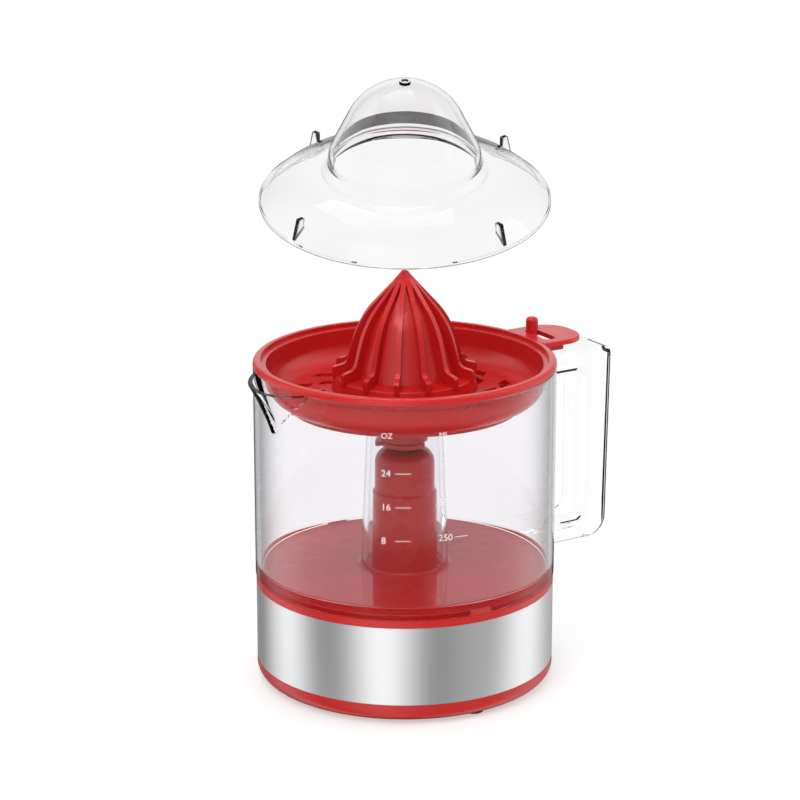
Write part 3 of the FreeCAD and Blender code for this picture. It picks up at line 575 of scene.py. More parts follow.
@dataclass(frozen=True)
class MetalFinish:
    """Plain metal with a fine rolled or sintered texture."""

    name: str
    colour: Colour
    deep: Colour
    roughness: Tuple[float, float]
    fine: float = 1800.0
    broad: float = 70.0
    relief: Tuple[float, float] = (0.15, 0.00004)

    def build(self, effects: Effects) -> bpy.types.Material:
        """Makes the material.

        Args:
            effects: Shared node groups.

        Returns:
            The finished material.
        """
        material, graph, shader, _ = start_material(self.name)
        place = graph.place()
        grain = graph.use(effects.grain, Vector=place, Fine_Scale=self.fine, Broad_Scale=self.broad)
        graph.feed(shader.inputs["Base Color"], graph.mix(grain.outputs["Tone"], self.colour, self.deep))
        graph.feed(shader.inputs["Roughness"], graph.span(grain.outputs["Height"], *self.roughness))
        graph.feed(shader.inputs["Normal"], graph.bump(grain.outputs["Height"], *self.relief))
        shader.inputs["Metallic"].default_value = 1.0
        return material


@dataclass
class Finishes:
    """Every finish of the juicer by its slot."""

    effects: Effects
    by_slot: Dict[Slot, bpy.types.Material] = field(default_factory=dict)
    clear: Dict[Glazing, bpy.types.Material] = field(default_factory=dict)

    def build(self) -> "Finishes":
        """Makes the materials of all slots.

        Returns:
            This set of finishes.
        """
        moulded = {
            Slot.RED: MouldedFinish(
                "red_moulded", (0.520, 0.012, 0.010, 1), (0.430, 0.008, 0.007, 1), (0.24, 0.34), coat=0.10
            ),
            Slot.RUBBER: MouldedFinish(
                "rubber_matt", (0.085, 0.022, 0.020, 1), (0.060, 0.015, 0.014, 1), (0.62, 0.80), 1500.0
            ),
            Slot.NYLON: MouldedFinish(
                "nylon_natural", (0.80, 0.79, 0.74, 1), (0.74, 0.72, 0.66, 1), (0.42, 0.55)
            ),
            Slot.MAGNET: MouldedFinish(
                "ferrite", (0.055, 0.055, 0.062, 1), (0.035, 0.035, 0.040, 1), (0.50, 0.66), 1200.0
            ),
            Slot.SWITCH: MouldedFinish(
                "switch_black", (0.028, 0.028, 0.032, 1), (0.018, 0.018, 0.020, 1), (0.38, 0.52)
            ),
        }
        metals = {
            Slot.STEEL: MetalFinish(
                "steel_plain", (0.60, 0.60, 0.62, 1), (0.48, 0.48, 0.50, 1), (0.24, 0.42)
            ),
            Slot.BRONZE: MetalFinish(
                "bronze_sintered", (0.56, 0.38, 0.18, 1), (0.40, 0.26, 0.12, 1), (0.38, 0.58)
            ),
            Slot.COPPER: MetalFinish(
                "copper_wound", (0.62, 0.26, 0.11, 1), (0.44, 0.16, 0.06, 1), (0.26, 0.44)
            ),
        }
        for slot, finish in {**moulded, **metals}.items():
            self.by_slot[slot] = finish.build(self.effects)
        for kind in Glazing:
            self.clear[kind] = kind.value.build(self.effects)
        self.by_slot[Slot.CLEAR] = self.clear[Glazing.WALL]
        self.by_slot[Slot.BAND] = BrushedFinish("band_brushed").build(self.effects)
        return self

    def ink(self) -> bpy.types.Material:
        """White printing ink for the jug's scale."""
        return MouldedFinish(
            "scale_ink", (0.80, 0.76, 0.77, 1), (0.74, 0.70, 0.71, 1), (0.45, 0.60), 900.0
        ).build(self.effects)


@dataclass
class Workshop:
    """What every sub-assembly needs to make and place its pieces."""

    frame: Dict[str, object]
    finishes: Finishes
    axis_x: float

    def piece(
        self,
        name: str,
        bm: bmesh.types.BMesh,
        body: str,
        slot: Optional[Slot],
        crease: float = 34.0,
        materials: Sequence[bpy.types.Material] = (),
    ) -> bpy.types.Object:
        """Turns a bmesh into a smooth piece that rides a body.

        Args:
            name: Piece name.
            bm: Mesh in place, freed here.
            body: CAD body that it moves with.
            slot: Record slot of its finish, or None.
            crease: Angle in degrees above which an edge stays sharp.
            materials: Finishes by face index, in place of the slot's own.

        Returns:
            The new object.
        """
        limit = math.radians(crease)
        for edge in bm.edges:
            edge.smooth = len(edge.link_faces) == 2 and edge.calc_face_angle(0.0) < limit
        for face in bm.faces:
            face.smooth = True
        mesh = bpy.data.meshes.new(name)
        bm.to_mesh(mesh)
        bm.free()
        for material in materials or [self.finishes.by_slot[slot]]:
            mesh.materials.append(material)
        made = bpy.data.objects.new(name, mesh)
        bpy.context.scene.collection.objects.link(made)
        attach(made, body)
        LOG.info("piece %s on %s: %d faces", name, body, len(mesh.polygons))
        return made

    def smooth_copy(self, node: str, body: str, slot: Slot, crease: float = 30.0) -> bpy.types.Object:
        """Stands a smooth-shaded copy in for a CAD node.

        Args:
            node: CAD node.
            body: Body of that node.
            slot: Record slot of its finish.
            crease: Angle in degrees above which an edge stays sharp.

        Returns:
            The new object.
        """
        bm = bmesh.new()
        bm.from_mesh(self.frame["nodes"][node].data)
        bmesh.ops.remove_doubles(bm, verts=bm.verts, dist=2e-6)
        bmesh.ops.dissolve_degenerate(bm, edges=bm.edges, dist=1e-7)
        made = self.piece(node + "_dressed", bm, body, slot, crease)
        self.even(made)
        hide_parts(node)
        return made

    @staticmethod
    def even(made: bpy.types.Object) -> None:
        """Keeps flat faces flat beside their roundings.

        Args:
            made: Piece to shade.
        """
        keep = made.modifiers.new("even_shading", "WEIGHTED_NORMAL")
        keep.mode = "FACE_AREA_WITH_ANGLE"
        keep.keep_sharp = True

    def paint(self, node: str, slot: Slot) -> None:
        """Gives a CAD node that stays its finish.

        Args:
            node: CAD node.
            slot: Record slot of its finish.
        """
        mesh = self.frame["nodes"][node].data
        mesh.materials.clear()
        mesh.materials.append(self.finishes.by_slot[slot])
        LOG.info("node %s keeps its solid, finish %s", node, slot.value)

    def turned(
        self, profile: Profile, steps: int, sweep: float = 360.0, start: float = 0.0
    ) -> bmesh.types.BMesh:
        """Spins a closed profile about the drive axis.

        Args:
            profile: Points of radius and height in millimetres.
            steps: Segments round the axis.
            sweep: Angle of the turn in degrees.
            start: Angle of its start in degrees.

        Returns:
            The turned mesh with its faces outwards.
        """
        bm = bmesh.new()
        verts = [bm.verts.new() for _ in profile]
        for vert, (r, z) in zip(verts, profile):
            self.move(vert, r, math.radians(start), z)
        edges = [bm.edges.new((v, verts[(i + 1) % len(verts)])) for i, v in enumerate(verts)]
        whole = sweep >= 360.0
        ends = None if whole else bm.faces.new(verts)
        geometry = verts + edges if whole else [ends]
        bmesh.ops.spin(
            bm,
            geom=geometry,
            cent=(self.axis_x, 0, 0),
            axis=(0, 0, 1),
            angle=math.radians(sweep),
            steps=steps,
            use_merge=whole,
        )
        bmesh.ops.remove_doubles(bm, verts=bm.verts, dist=1e-7)
        bmesh.ops.recalc_face_normals(bm, faces=bm.faces)
        return bm

    @staticmethod
    def score(bm: bmesh.types.BMesh, spot: Sequence[float], way: Sequence[float]) -> None:
        """Cuts every face that a plane crosses, given by a point in metres and its normal."""
        geometry = bm.verts[:] + bm.edges[:] + bm.faces[:]
        bmesh.ops.bisect_plane(bm, geom=geometry, plane_co=spot, plane_no=way)

    @staticmethod
    def grow(
        bm: bmesh.types.BMesh, faces: Sequence[bmesh.types.BMFace], way: Sequence[float]
    ) -> List[bmesh.types.BMVert]:
        """Draws faces out and leaves the old ones where they are.

        Args:
            bm: Mesh of the faces.
            faces: Faces to draw out.
            way: Direction and distance in metres.

        Returns:
            The new vertices.
        """
        grown = bmesh.ops.extrude_face_region(bm, geom=faces)
        fresh = [part for part in grown["geom"] if isinstance(part, bmesh.types.BMVert)]
        bmesh.ops.translate(bm, verts=fresh, vec=way)
        return fresh

    def middle(self, face: bmesh.types.BMFace) -> Tuple[float, float]:
        """Mean radius about the drive axis and mean height of a face's corners, in mm."""
        spots = [self.polar(vert) for vert in face.verts]
        return sum(spot[0] for spot in spots) / len(spots), sum(spot[2] for spot in spots) / len(spots)

    def polar(self, vert: bmesh.types.BMVert) -> Tuple[float, float, float]:
        """Radius in mm, angle in radians and height in mm of a vertex about the drive axis."""
        x, y = (vert.co.x - self.axis_x) / MM, vert.co.y / MM
        return math.hypot(x, y), math.atan2(y, x), vert.co.z / MM

    def move(self, vert: bmesh.types.BMVert, radius: float, angle: float, height: float) -> None:
        """Puts a vertex at a radius and height in mm and an angle in radians."""
        vert.co = (
            self.axis_x + radius * MM * math.cos(angle),
            radius * MM * math.sin(angle),
            height * MM,
        )


def rounded(points: Sequence[Sequence[float]], segments: int = 8) -> Profile:
    """Rounds the corners of a closed profile that carry a radius.

    Args:
        points: Radius and height of each corner, and its rounding if it has one.
        segments: Chords in each rounding.

    Returns:
        The profile with its roundings drawn out.
    """
    corners = [Vector(p[:2]) for p in points]
    made: Profile = []
    for i, corner in enumerate(corners):
        radius = points[i][2] if len(points[i]) > 2 else 0.0
        if radius == 0.0:
            made.append((corner.x, corner.y))
            continue
        before = (corners[i - 1] - corner).normalized()
        after = (corners[(i + 1) % len(corners)] - corner).normalized()
        half = before.angle(after) / 2
        centre = corner + (before + after).normalized() * (radius / math.sin(half))
        first = corner + before * (radius / math.tan(half)) - centre
        turn = first.angle_signed(corner + after * (radius / math.tan(half)) - centre)
        for k in range(segments + 1):
            a = -turn * k / segments
            c, s = math.cos(a), math.sin(a)
            made.append((centre.x + first.x * c - first.y * s, centre.y + first.x * s + first.y * c))
    return made


@dataclass
class Base:
    """Motor base: pan, band, cover with its tower, feet and all inside."""

    radius: float = 70.0
    band: Tuple[float, float] = (10.2, 47.5)
    band_thick: float = 0.8
    band_round: float = 0.25
    band_seam: float = 58.0
    band_gap: float = 0.35
    smooth: Tuple[Tuple[str, Slot], ...] = (
        ("base_pan", Slot.RED),
        ("base_cover", Slot.RED),
        ("base_feet", Slot.RUBBER),
        ("tower_seal", Slot.RUBBER),
        ("cord_gland", Slot.RUBBER),
        ("base_screws", Slot.STEEL),
    )
    inner: Tuple[Tuple[str, Slot], ...] = (
        ("upper_bush", Slot.BRONZE),
        ("lower_bush", Slot.BRONZE),
        ("gear_plate", Slot.STEEL),
        ("plate_screws", Slot.STEEL),
        ("motor_screws", Slot.STEEL),
        ("idler_pin", Slot.STEEL),
        ("idler_clip", Slot.STEEL),
        ("return_spring", Slot.STEEL),
        ("motor_case", Slot.STEEL),
        ("motor_end_plate", Slot.STEEL),
        ("motor_coil", Slot.COPPER),
        ("switch_body", Slot.SWITCH),
        ("output_gear", Slot.NYLON),
        ("idler_gear", Slot.NYLON),
        ("motor_pinion", Slot.NYLON),
        ("spring_seat", Slot.NYLON),
        ("rotor_magnet", Slot.MAGNET),
        ("rotor_shaft", Slot.STEEL),
        ("switch_lever", Slot.STEEL),
        ("switch_button", Slot.SWITCH),
    )

    def build(self, shop: Workshop) -> None:
        """Makes and dresses the base.

        Args:
            shop: Tools and finishes.
        """
        for node, slot in self.smooth:
            shop.smooth_copy(node, "base", slot)
        for node, slot in self.inner:
            shop.paint(node, slot)
        self.wrap(shop)

    def wrap(self, shop: Workshop) -> bpy.types.Object:
        """Rolls the steel band, with its butt joint at the back.

        Args:
            shop: Tools and finishes.

        Returns:
            The band.
        """
        low, high = self.band
        inner = self.radius - self.band_thick
        outer = [(self.radius, low, self.band_round), (self.radius, high, self.band_round)]
        profile = rounded([(inner, low), *outer, (inner, high)], 4)
        bm = shop.turned(profile, 288, 360.0 - self.band_gap, self.band_seam + self.band_gap / 2)
        made = shop.piece("band_wrapped", bm, "base", Slot.BAND)
        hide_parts("steel_band")
        return made


@dataclass
class Jug:
    """Clear jug with chimney, spout, handle and printed scale."""

    radius: float = 70.3
    wall: float = 2.5
    foot: Tuple[float, float] = (63.2, 51.0)
    foot_recess: float = 1.5
    floor: float = 55.0
    floor_round: float = 3.0
    rim: float = 152.0
    chimney: Tuple[float, float, float] = (20.6, 17.7, 124.0)
    chimney_wall: float = 2.1
    spout_x: float = 49.6
    spout_r: float = 29.2
    spout_foot: float = 129.4
    spout_foot_r: float = 1.2
    spout_row: float = 0.8
    spout_wall: float = 2.2
    spout_blend: float = 1.6
    spout_dip: float = 2.0
    spout_dip_depth: float = 8.0
    spout_lag: float = 0.016
    notch: Tuple[float, float, float] = (-10.0, 9.5, 147.0)
    key: Tuple[float, float, float] = (65.3, 69.2, 3.0)
    key_half: float = 5.2
    key_angles: Tuple[float, ...] = (268.0, 88.0)
    grip: Tuple[float, float, float] = (38.7, 52.0, 147.0)
    grip_gap: Tuple[float, float, float] = (62.0, 137.0, 27.5)
    grip_round: float = 8.0
    # Reach of the painted dark outline strips on the handle.
    grip_corner: float = 10.0
    grip_edge: float = 2.3
    grip_line: float = 3.0
    grip_stand: float = 0.04
    grip_lean: float = 0.022
    grip_lean_foot: float = 72.0
    grip_lean_width: float = 6.0
    arms: Tuple[float, float] = (12.0, 20.0)
    # Heights of the near-black painted shade line across the handle's bend.
    bend: Tuple[float, float] = (142.5, 143.8)
    glazing: Tuple[Glazing, ...] = (
        Glazing.WALL,
        Glazing.SOFT,
        Glazing.PIPE,
        Glazing.LIP,
        Glazing.ARM,
        Glazing.GRIP,
        Glazing.FOOT,
        Glazing.EDGE,
        Glazing.BEND,
    )
    scale: Tuple[Tuple[str, Tuple[float, float, float], Tuple[Tuple[str, float], ...]], ...] = (
        ("OZ", (229.4, 234.6, 240.4), (("24", 120.8), ("16", 105.0), ("8", 89.2))),
        ("ML", (250.4, 256.6, 261.6), (("750", 123.5), ("500", 106.8), ("250", 90.1))),
    )
    scale_head: Tuple[float, float] = (138.2, 3.6)
    scale_size: float = 4.4
    scale_line: float = 0.32
    ink_thick: float = 0.06

    def build(self, shop: Workshop) -> None:
        """Makes and dresses the jug.

        Args:
            shop: Tools and finishes.
        """
        bm = shop.turned(self.section(), 360)
        for angle in self.key_angles:
            self.sink_key(shop, bm, angle)
        start = self.spout_foot - 1.0
        for k in range(int((self.rim - start) / self.spout_row)):
            shop.score(bm, (0, 0, (start + self.spout_row * k) * MM), (0, 0, 1))
        self.pull_spout(shop, bm)
        drawn = bm.verts.layers.int["drawn"]
        for face in bm.faces:
            face.material_index = self.zone(shop, face, any(vert[drawn] for vert in face.verts))
        self.join_handle(shop, bm)
        glazing = [shop.finishes.clear[kind] for kind in self.glazing]
        made = shop.piece("jug_clear", bm, "jug_body", Slot.CLEAR, 26.0, glazing)
        shop.even(made)
        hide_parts("jug", "jug_handle")
        self.print_scale(shop)

    def section(self) -> Profile:
        """Half section of the jug without its spout and handle.

        Returns:
            Radius and height in mm of its corners, with their roundings drawn out.
        """
        inner = self.radius - self.wall
        chimney_foot, chimney_top, top = self.chimney
        thin = self.chimney_wall
        foot_r, foot_z = self.foot
        recess = foot_z + self.foot_recess
        return rounded(
            [
                (foot_r, foot_z),
                (self.key[0], foot_z),
                (self.key[1], foot_z),
                (self.radius, foot_z, 1.0),
                (self.radius, self.rim, 0.6),
                (inner, self.rim, 0.6),
                (inner, self.floor, self.floor_round),
                (chimney_foot, self.floor, 2.0),
                (chimney_top, top, 0.8),
                (chimney_top - thin, top, 0.8),
                (chimney_foot - thin, recess),
                (foot_r, recess),
            ],
            6,
        )

    def zone(self, shop: Workshop, face: bmesh.types.BMFace, spout: bool) -> int:
        """Index of the glazing that a face of the jug takes, with painted dark shade on the spout's top
        edge.

        Args:
            shop: Tools and finishes.
            face: Face of the jug.
            spout: True where the face was drawn out into the spout.

        Returns:
            Place of the glazing in the jug's list.
        """
        r, z = shop.middle(face)
        kind = Glazing.WALL
        if z < self.floor - 1.0 and face.normal.z < -0.9:
            kind = Glazing.FOOT
        elif z < self.floor + self.floor_round:
            kind = Glazing.SOFT
        elif r < self.chimney[0] + self.floor_round:
            kind = Glazing.PIPE
        # Spout's top faces get near-black painted edge shade.
        elif spout and r > self.radius and face.normal.z > 0.7:
            kind = Glazing.EDGE
        elif spout:
            kind = Glazing.LIP
        return self.glazing.index(kind)

    def grip_zone(self, shop: Workshop, face: bmesh.types.BMFace) -> int:
        """Index of the glazing that a face of the handle takes, with its painted dark shade strips.

        Args:
            shop: Tools and finishes.
            face: Face of the handle.

        Returns:
            Place of the glazing in the jug's list.
        """
        centre = face.calc_center_median()
        x, z = (centre.x - shop.axis_x) / MM - self.radius, centre.z / MM
        n = face.normal
        side, low, high = self.grip
        gap_low, gap_high, _ = self.grip_gap
        near, far = self.arms
        edge = self.grip_edge
        flank = abs(n.y) >= 0.998
        rounding = 0.03 < abs(n.y) < 0.998
        reach = self.grip_corner
        corner = x > side - reach and (z < low + reach or z > high - self.grip_round)
        outer = x > side - edge or z < low + edge or corner
        under = abs(z - gap_low) < edge and 0.75 < n.z < 0.95 and x > near
        over = abs(z - gap_high) < edge and n.z < -0.2 and x < far
        outline = outer and n.z < 0.5 and (n.x > 0.15 or n.z < -0.6)
        kind = Glazing.ARM
        # Painted dark shade: BEND line across the bend, GRIP strips along the outline and the gap.
        if n.x > 0.3 and abs(n.y) < 0.3 and self.bend[0] < z < self.bend[1]:
            kind = Glazing.BEND
        elif flank and x > side - self.grip_line:
            kind = Glazing.GRIP
        elif rounding and (under or over or outline):
            kind = Glazing.GRIP
        elif rounding and x > far and not outer:
            kind = Glazing.LIP
        return self.glazing.index(kind)

    def join_handle(self, shop: Workshop, bm: bmesh.types.BMesh) -> None:
        """Puts the loop handle on the wall, in the same piece.

        Args:
            shop: Tools and finishes.
            bm: Jug mesh to add to.
        """
        grip = bmesh.new()
        grip.from_mesh(shop.frame["nodes"]["jug_handle"].data)
        bmesh.ops.remove_doubles(grip, verts=grip.verts, dist=2e-6)
        for vert in grip.verts:
            r, a, z = shop.polar(vert)
            if r < self.radius + 0.2:
                shop.move(vert, self.radius + self.grip_stand, a, z)
        self.square_corner(shop, grip)
        for x in (*self.arms, self.grip[0] - self.grip_line):
            shop.score(grip, (shop.axis_x + (self.radius + x) * MM, 0, 0), (1, 0, 0))
        for z in self.bend:
            shop.score(grip, (0, 0, z * MM), (0, 0, 1))
        bmesh.ops.recalc_face_normals(grip, faces=grip.faces)
        for face in grip.faces:
            face.material_index = self.grip_zone(shop, face)
        self.lean_out(shop, grip)
        mesh = bpy.data.meshes.new("jug_grip")
        grip.to_mesh(mesh)
        grip.free()
        bm.from_mesh(mesh)
        bpy.data.meshes.remove(mesh)
        bmesh.ops.recalc_face_normals(bm, faces=bm.faces)
        LOG.info("handle joined: %d open edges", sum(1 for e in bm.edges if len(e.link_faces) != 2))

    def square_corner(self, shop: Workshop, grip: bmesh.types.BMesh) -> None:
        """Halves the rounding of the handle's outer top corner.

        Args:
            shop: Tools and finishes.
            grip: Copy of the handle.
        """
        side, _, high = self.grip
        mid_x = shop.axis_x + (self.radius + side - self.grip_round) * MM
        mid_z = (high - self.grip_round) * MM
        for vert in grip.verts:
            dx, dz = vert.co.x - mid_x, vert.co.z - mid_z
            if dx <= 0.0 or dz <= 0.0:
                continue
            turn = math.atan2(min(dx, dz), max(dx, dz))
            both = math.cos(turn) + math.sin(turn)
            arc = 0.5 * (both + math.sqrt(max(0.0, both * both - 1.0)))
            gain = 1.0 / math.cos(turn) if math.tan(turn) <= 0.5 else arc
            vert.co.x, vert.co.z = mid_x + dx * gain, mid_z + dz * gain

    def lean_out(self, shop: Workshop, grip: bmesh.types.BMesh) -> None:
        """Leans the handle's outer side out towards its top.

        Args:
            shop: Tools and finishes.
            grip: Copy of the handle.
        """
        start = shop.axis_x + (self.radius + self.grip_gap[2]) * MM
        for vert in grip.verts:
            share = min(1.0, max(0.0, (vert.co.x - start) / (self.grip_lean_width * MM)))
            vert.co.x += self.grip_lean * max(0.0, vert.co.z - self.grip_lean_foot * MM) * share

    def pull_spout(self, shop: Workshop, bm: bmesh.types.BMesh) -> None:
        """Draws the pouring lip out of the wall and cuts the arm's notch into the rim.

        Args:
            shop: Tools and finishes.
            bm: Turned jug.
        """
        middle = self.radius - self.wall / 2
        first, last, low = self.notch
        drawn = bm.verts.layers.int.new("drawn")
        for vert in bm.verts:
            r, a, z = shop.polar(vert)
            if z < self.spout_foot - 1.5 or r < self.radius - 6:
                continue
            inside = r <= middle
            reach = self.spout_reach(a, z, self.spout_wall if inside else 0.0)
            soft = max(0.0, 1.0 - abs(r - reach) / self.spout_blend)
            out = max(r, reach) + soft * soft * self.spout_blend / 4
            outside = self.spout_reach(a + self.spout_lag * inside, z, 0.0)
            vert[drawn] = int(outside > self.radius + 0.1)
            cut = first < math.degrees(a) < last and z > low
            fall = self.lip_fall(-out * math.cos(a), z)
            shop.move(vert, out, a, low if cut else z - fall)
        bmesh.ops.remove_doubles(bm, verts=bm.verts, dist=2e-6)
        bmesh.ops.recalc_face_normals(bm, faces=bm.faces)

    def lip_fall(self, ahead: float, height: float) -> float:
        """Drop of the spout's lip below the jug rim.

        Args:
            ahead: Distance from the drive axis towards the spout in mm.
            height: Height in mm before the drop.

        Returns:
            The drop in mm.
        """
        root = (self.spout_x**2 + self.radius**2 - self.spout_r**2) / (2 * self.spout_x)
        tip = self.spout_x + self.spout_r
        share = max(0.0, (ahead - root) / (tip - root))
        return self.spout_dip * share * max(0.0, 1.0 - (self.rim - height) / self.spout_dip_depth)

    def sink_key(self, shop: Workshop, bm: bmesh.types.BMesh, angle: float) -> None:
        """Sinks one key pocket into the jug's foot.

        Args:
            shop: Tools and finishes.
            bm: Turned jug.
            angle: Direction of the pocket in degrees.
        """
        inner, outer, high = self.key
        low = self.foot[1]
        faces = []
        for face in bm.faces:
            spots = [shop.polar(v) for v in face.verts]
            turn = max(abs((math.degrees(a) - angle + 180.0) % 360.0 - 180.0) for _, a, _ in spots)
            level = all(abs(z - low) < 0.01 for _, _, z in spots)
            ring = all(inner - 0.01 < r < outer + 0.01 for r, _, _ in spots)
            if level and ring and turn < self.key_half:
                faces.append(face)
        shop.grow(bm, faces, (0, 0, high * MM))
        bmesh.ops.delete(bm, geom=faces, context="FACES")

    def spout_reach(self, angle: float, height: float, shrink: float) -> float:
        """Distance from the drive axis to the spout's leaning cone.

        Args:
            angle: Direction in radians.
            height: Height in mm.
            shrink: Wall taken off the cone in mm.

        Returns:
            The distance in mm, or 0 where the cone isn't met.
        """
        low = self.spout_foot + shrink
        share = (height - low) / (self.rim - low)
        if share <= 0.0:
            return 0.0
        foot_r = self.spout_foot_r
        foot_x = foot_r + 1.7 * shrink - self.radius
        centre = foot_x + (-self.spout_x - foot_x) * share
        radius = foot_r + (self.spout_r - shrink - foot_r) * share
        along = centre * math.cos(angle)
        room = along * along - centre * centre + radius * radius
        return along + math.sqrt(room) if room > 0.0 else 0.0

    def print_scale(self, shop: Workshop) -> bpy.types.Object:
        """Prints the two measuring scales on the front wall.

        Args:
            shop: Tools and finishes.

        Returns:
            The printed scale.
        """
        bm = bmesh.new()
        head_z, head_size = self.scale_head
        for head, (start, middle, end), marks in self.scale:
            self.print_word(bm, shop, head, start, head_z, head_size)
            for word, height in marks:
                self.print_word(bm, shop, word, start, height, self.scale_size)
                self.print_line(bm, shop, middle, end, height)
        return shop.piece("scale_print", bm, "jug_body", None, 34.0, [shop.finishes.ink()])

    def print_line(
        self, bm: bmesh.types.BMesh, shop: Workshop, start: float, end: float, height: float
    ) -> None:
        """Prints a line round the wall.

        Args:
            bm: Mesh that takes the print.
            shop: Tools and finishes.
            start: Angle in degrees where it starts.
            end: Angle in degrees where it ends.
            height: Height in mm.
        """
        plane = bmesh.ops.create_grid(bm, x_segments=12, y_segments=1, size=0.5)
        for vert in plane["verts"]:
            angle = math.radians(start + (end - start) * (vert.co.x + 0.5))
            shop.move(vert, self.radius + self.ink_thick, angle, height + vert.co.y * self.scale_line)

    def print_word(
        self, bm: bmesh.types.BMesh, shop: Workshop, word: str, start: float, height: float, size: float
    ) -> None:
        """Prints a word round the wall.

        Args:
            bm: Mesh that takes the print.
            shop: Tools and finishes.
            word: Word or number.
            start: Angle in degrees where it starts.
            height: Height in mm that it is centred on.
            size: Size of its letters in mm.
        """
        curve = bpy.data.curves.new("scale_word", "FONT")
        curve.body = word
        curve.size = size
        curve.align_y = "CENTER"
        holder = bpy.data.objects.new("scale_word", curve)
        mesh = bpy.data.meshes.new_from_object(holder)
        before = set(bm.verts)
        bm.from_mesh(mesh)
        bpy.data.objects.remove(holder)
        bpy.data.curves.remove(curve)
        bpy.data.meshes.remove(mesh)
        for vert in bm.verts:
            if vert not in before:
                angle = math.radians(start) + vert.co.x / self.radius
                shop.move(vert, self.radius + self.ink_thick, angle, height + vert.co.y)


@dataclass
class Strainer:
    """Red sieve dish with the pulp adjuster and its peg."""

    pieces: Tuple[Tuple[str, str], ...] = (
        ("sieve", "sieve_body"),
        ("pulp_adjuster", "adjuster"),
        ("adjuster_peg", "adjuster"),
    )

    def build(self, shop: Workshop) -> None:
        """Dresses the dish and the adjuster.

        Args:
            shop: Tools and finishes.
        """
        for node, body in self.pieces:
            shop.smooth_copy(node, body, Slot.RED)


@dataclass
class Press:
    """Reamer, its sleeve and the drive shaft."""

    pieces: Tuple[Tuple[str, str, Slot], ...] = (
        ("drive_sleeve", "sleeve", Slot.RED),
        ("sleeve_clip", "sleeve", Slot.RED),
        ("drive_shaft", "spindle", Slot.STEEL),
        ("reamer", "cone", Slot.RED),
    )

    def build(self, shop: Workshop) -> None:
        """Dresses the reamer and its drive.

        Args:
            shop: Tools and finishes.
        """
        for node, body, slot in self.pieces:
            shop.smooth_copy(node, body, slot)


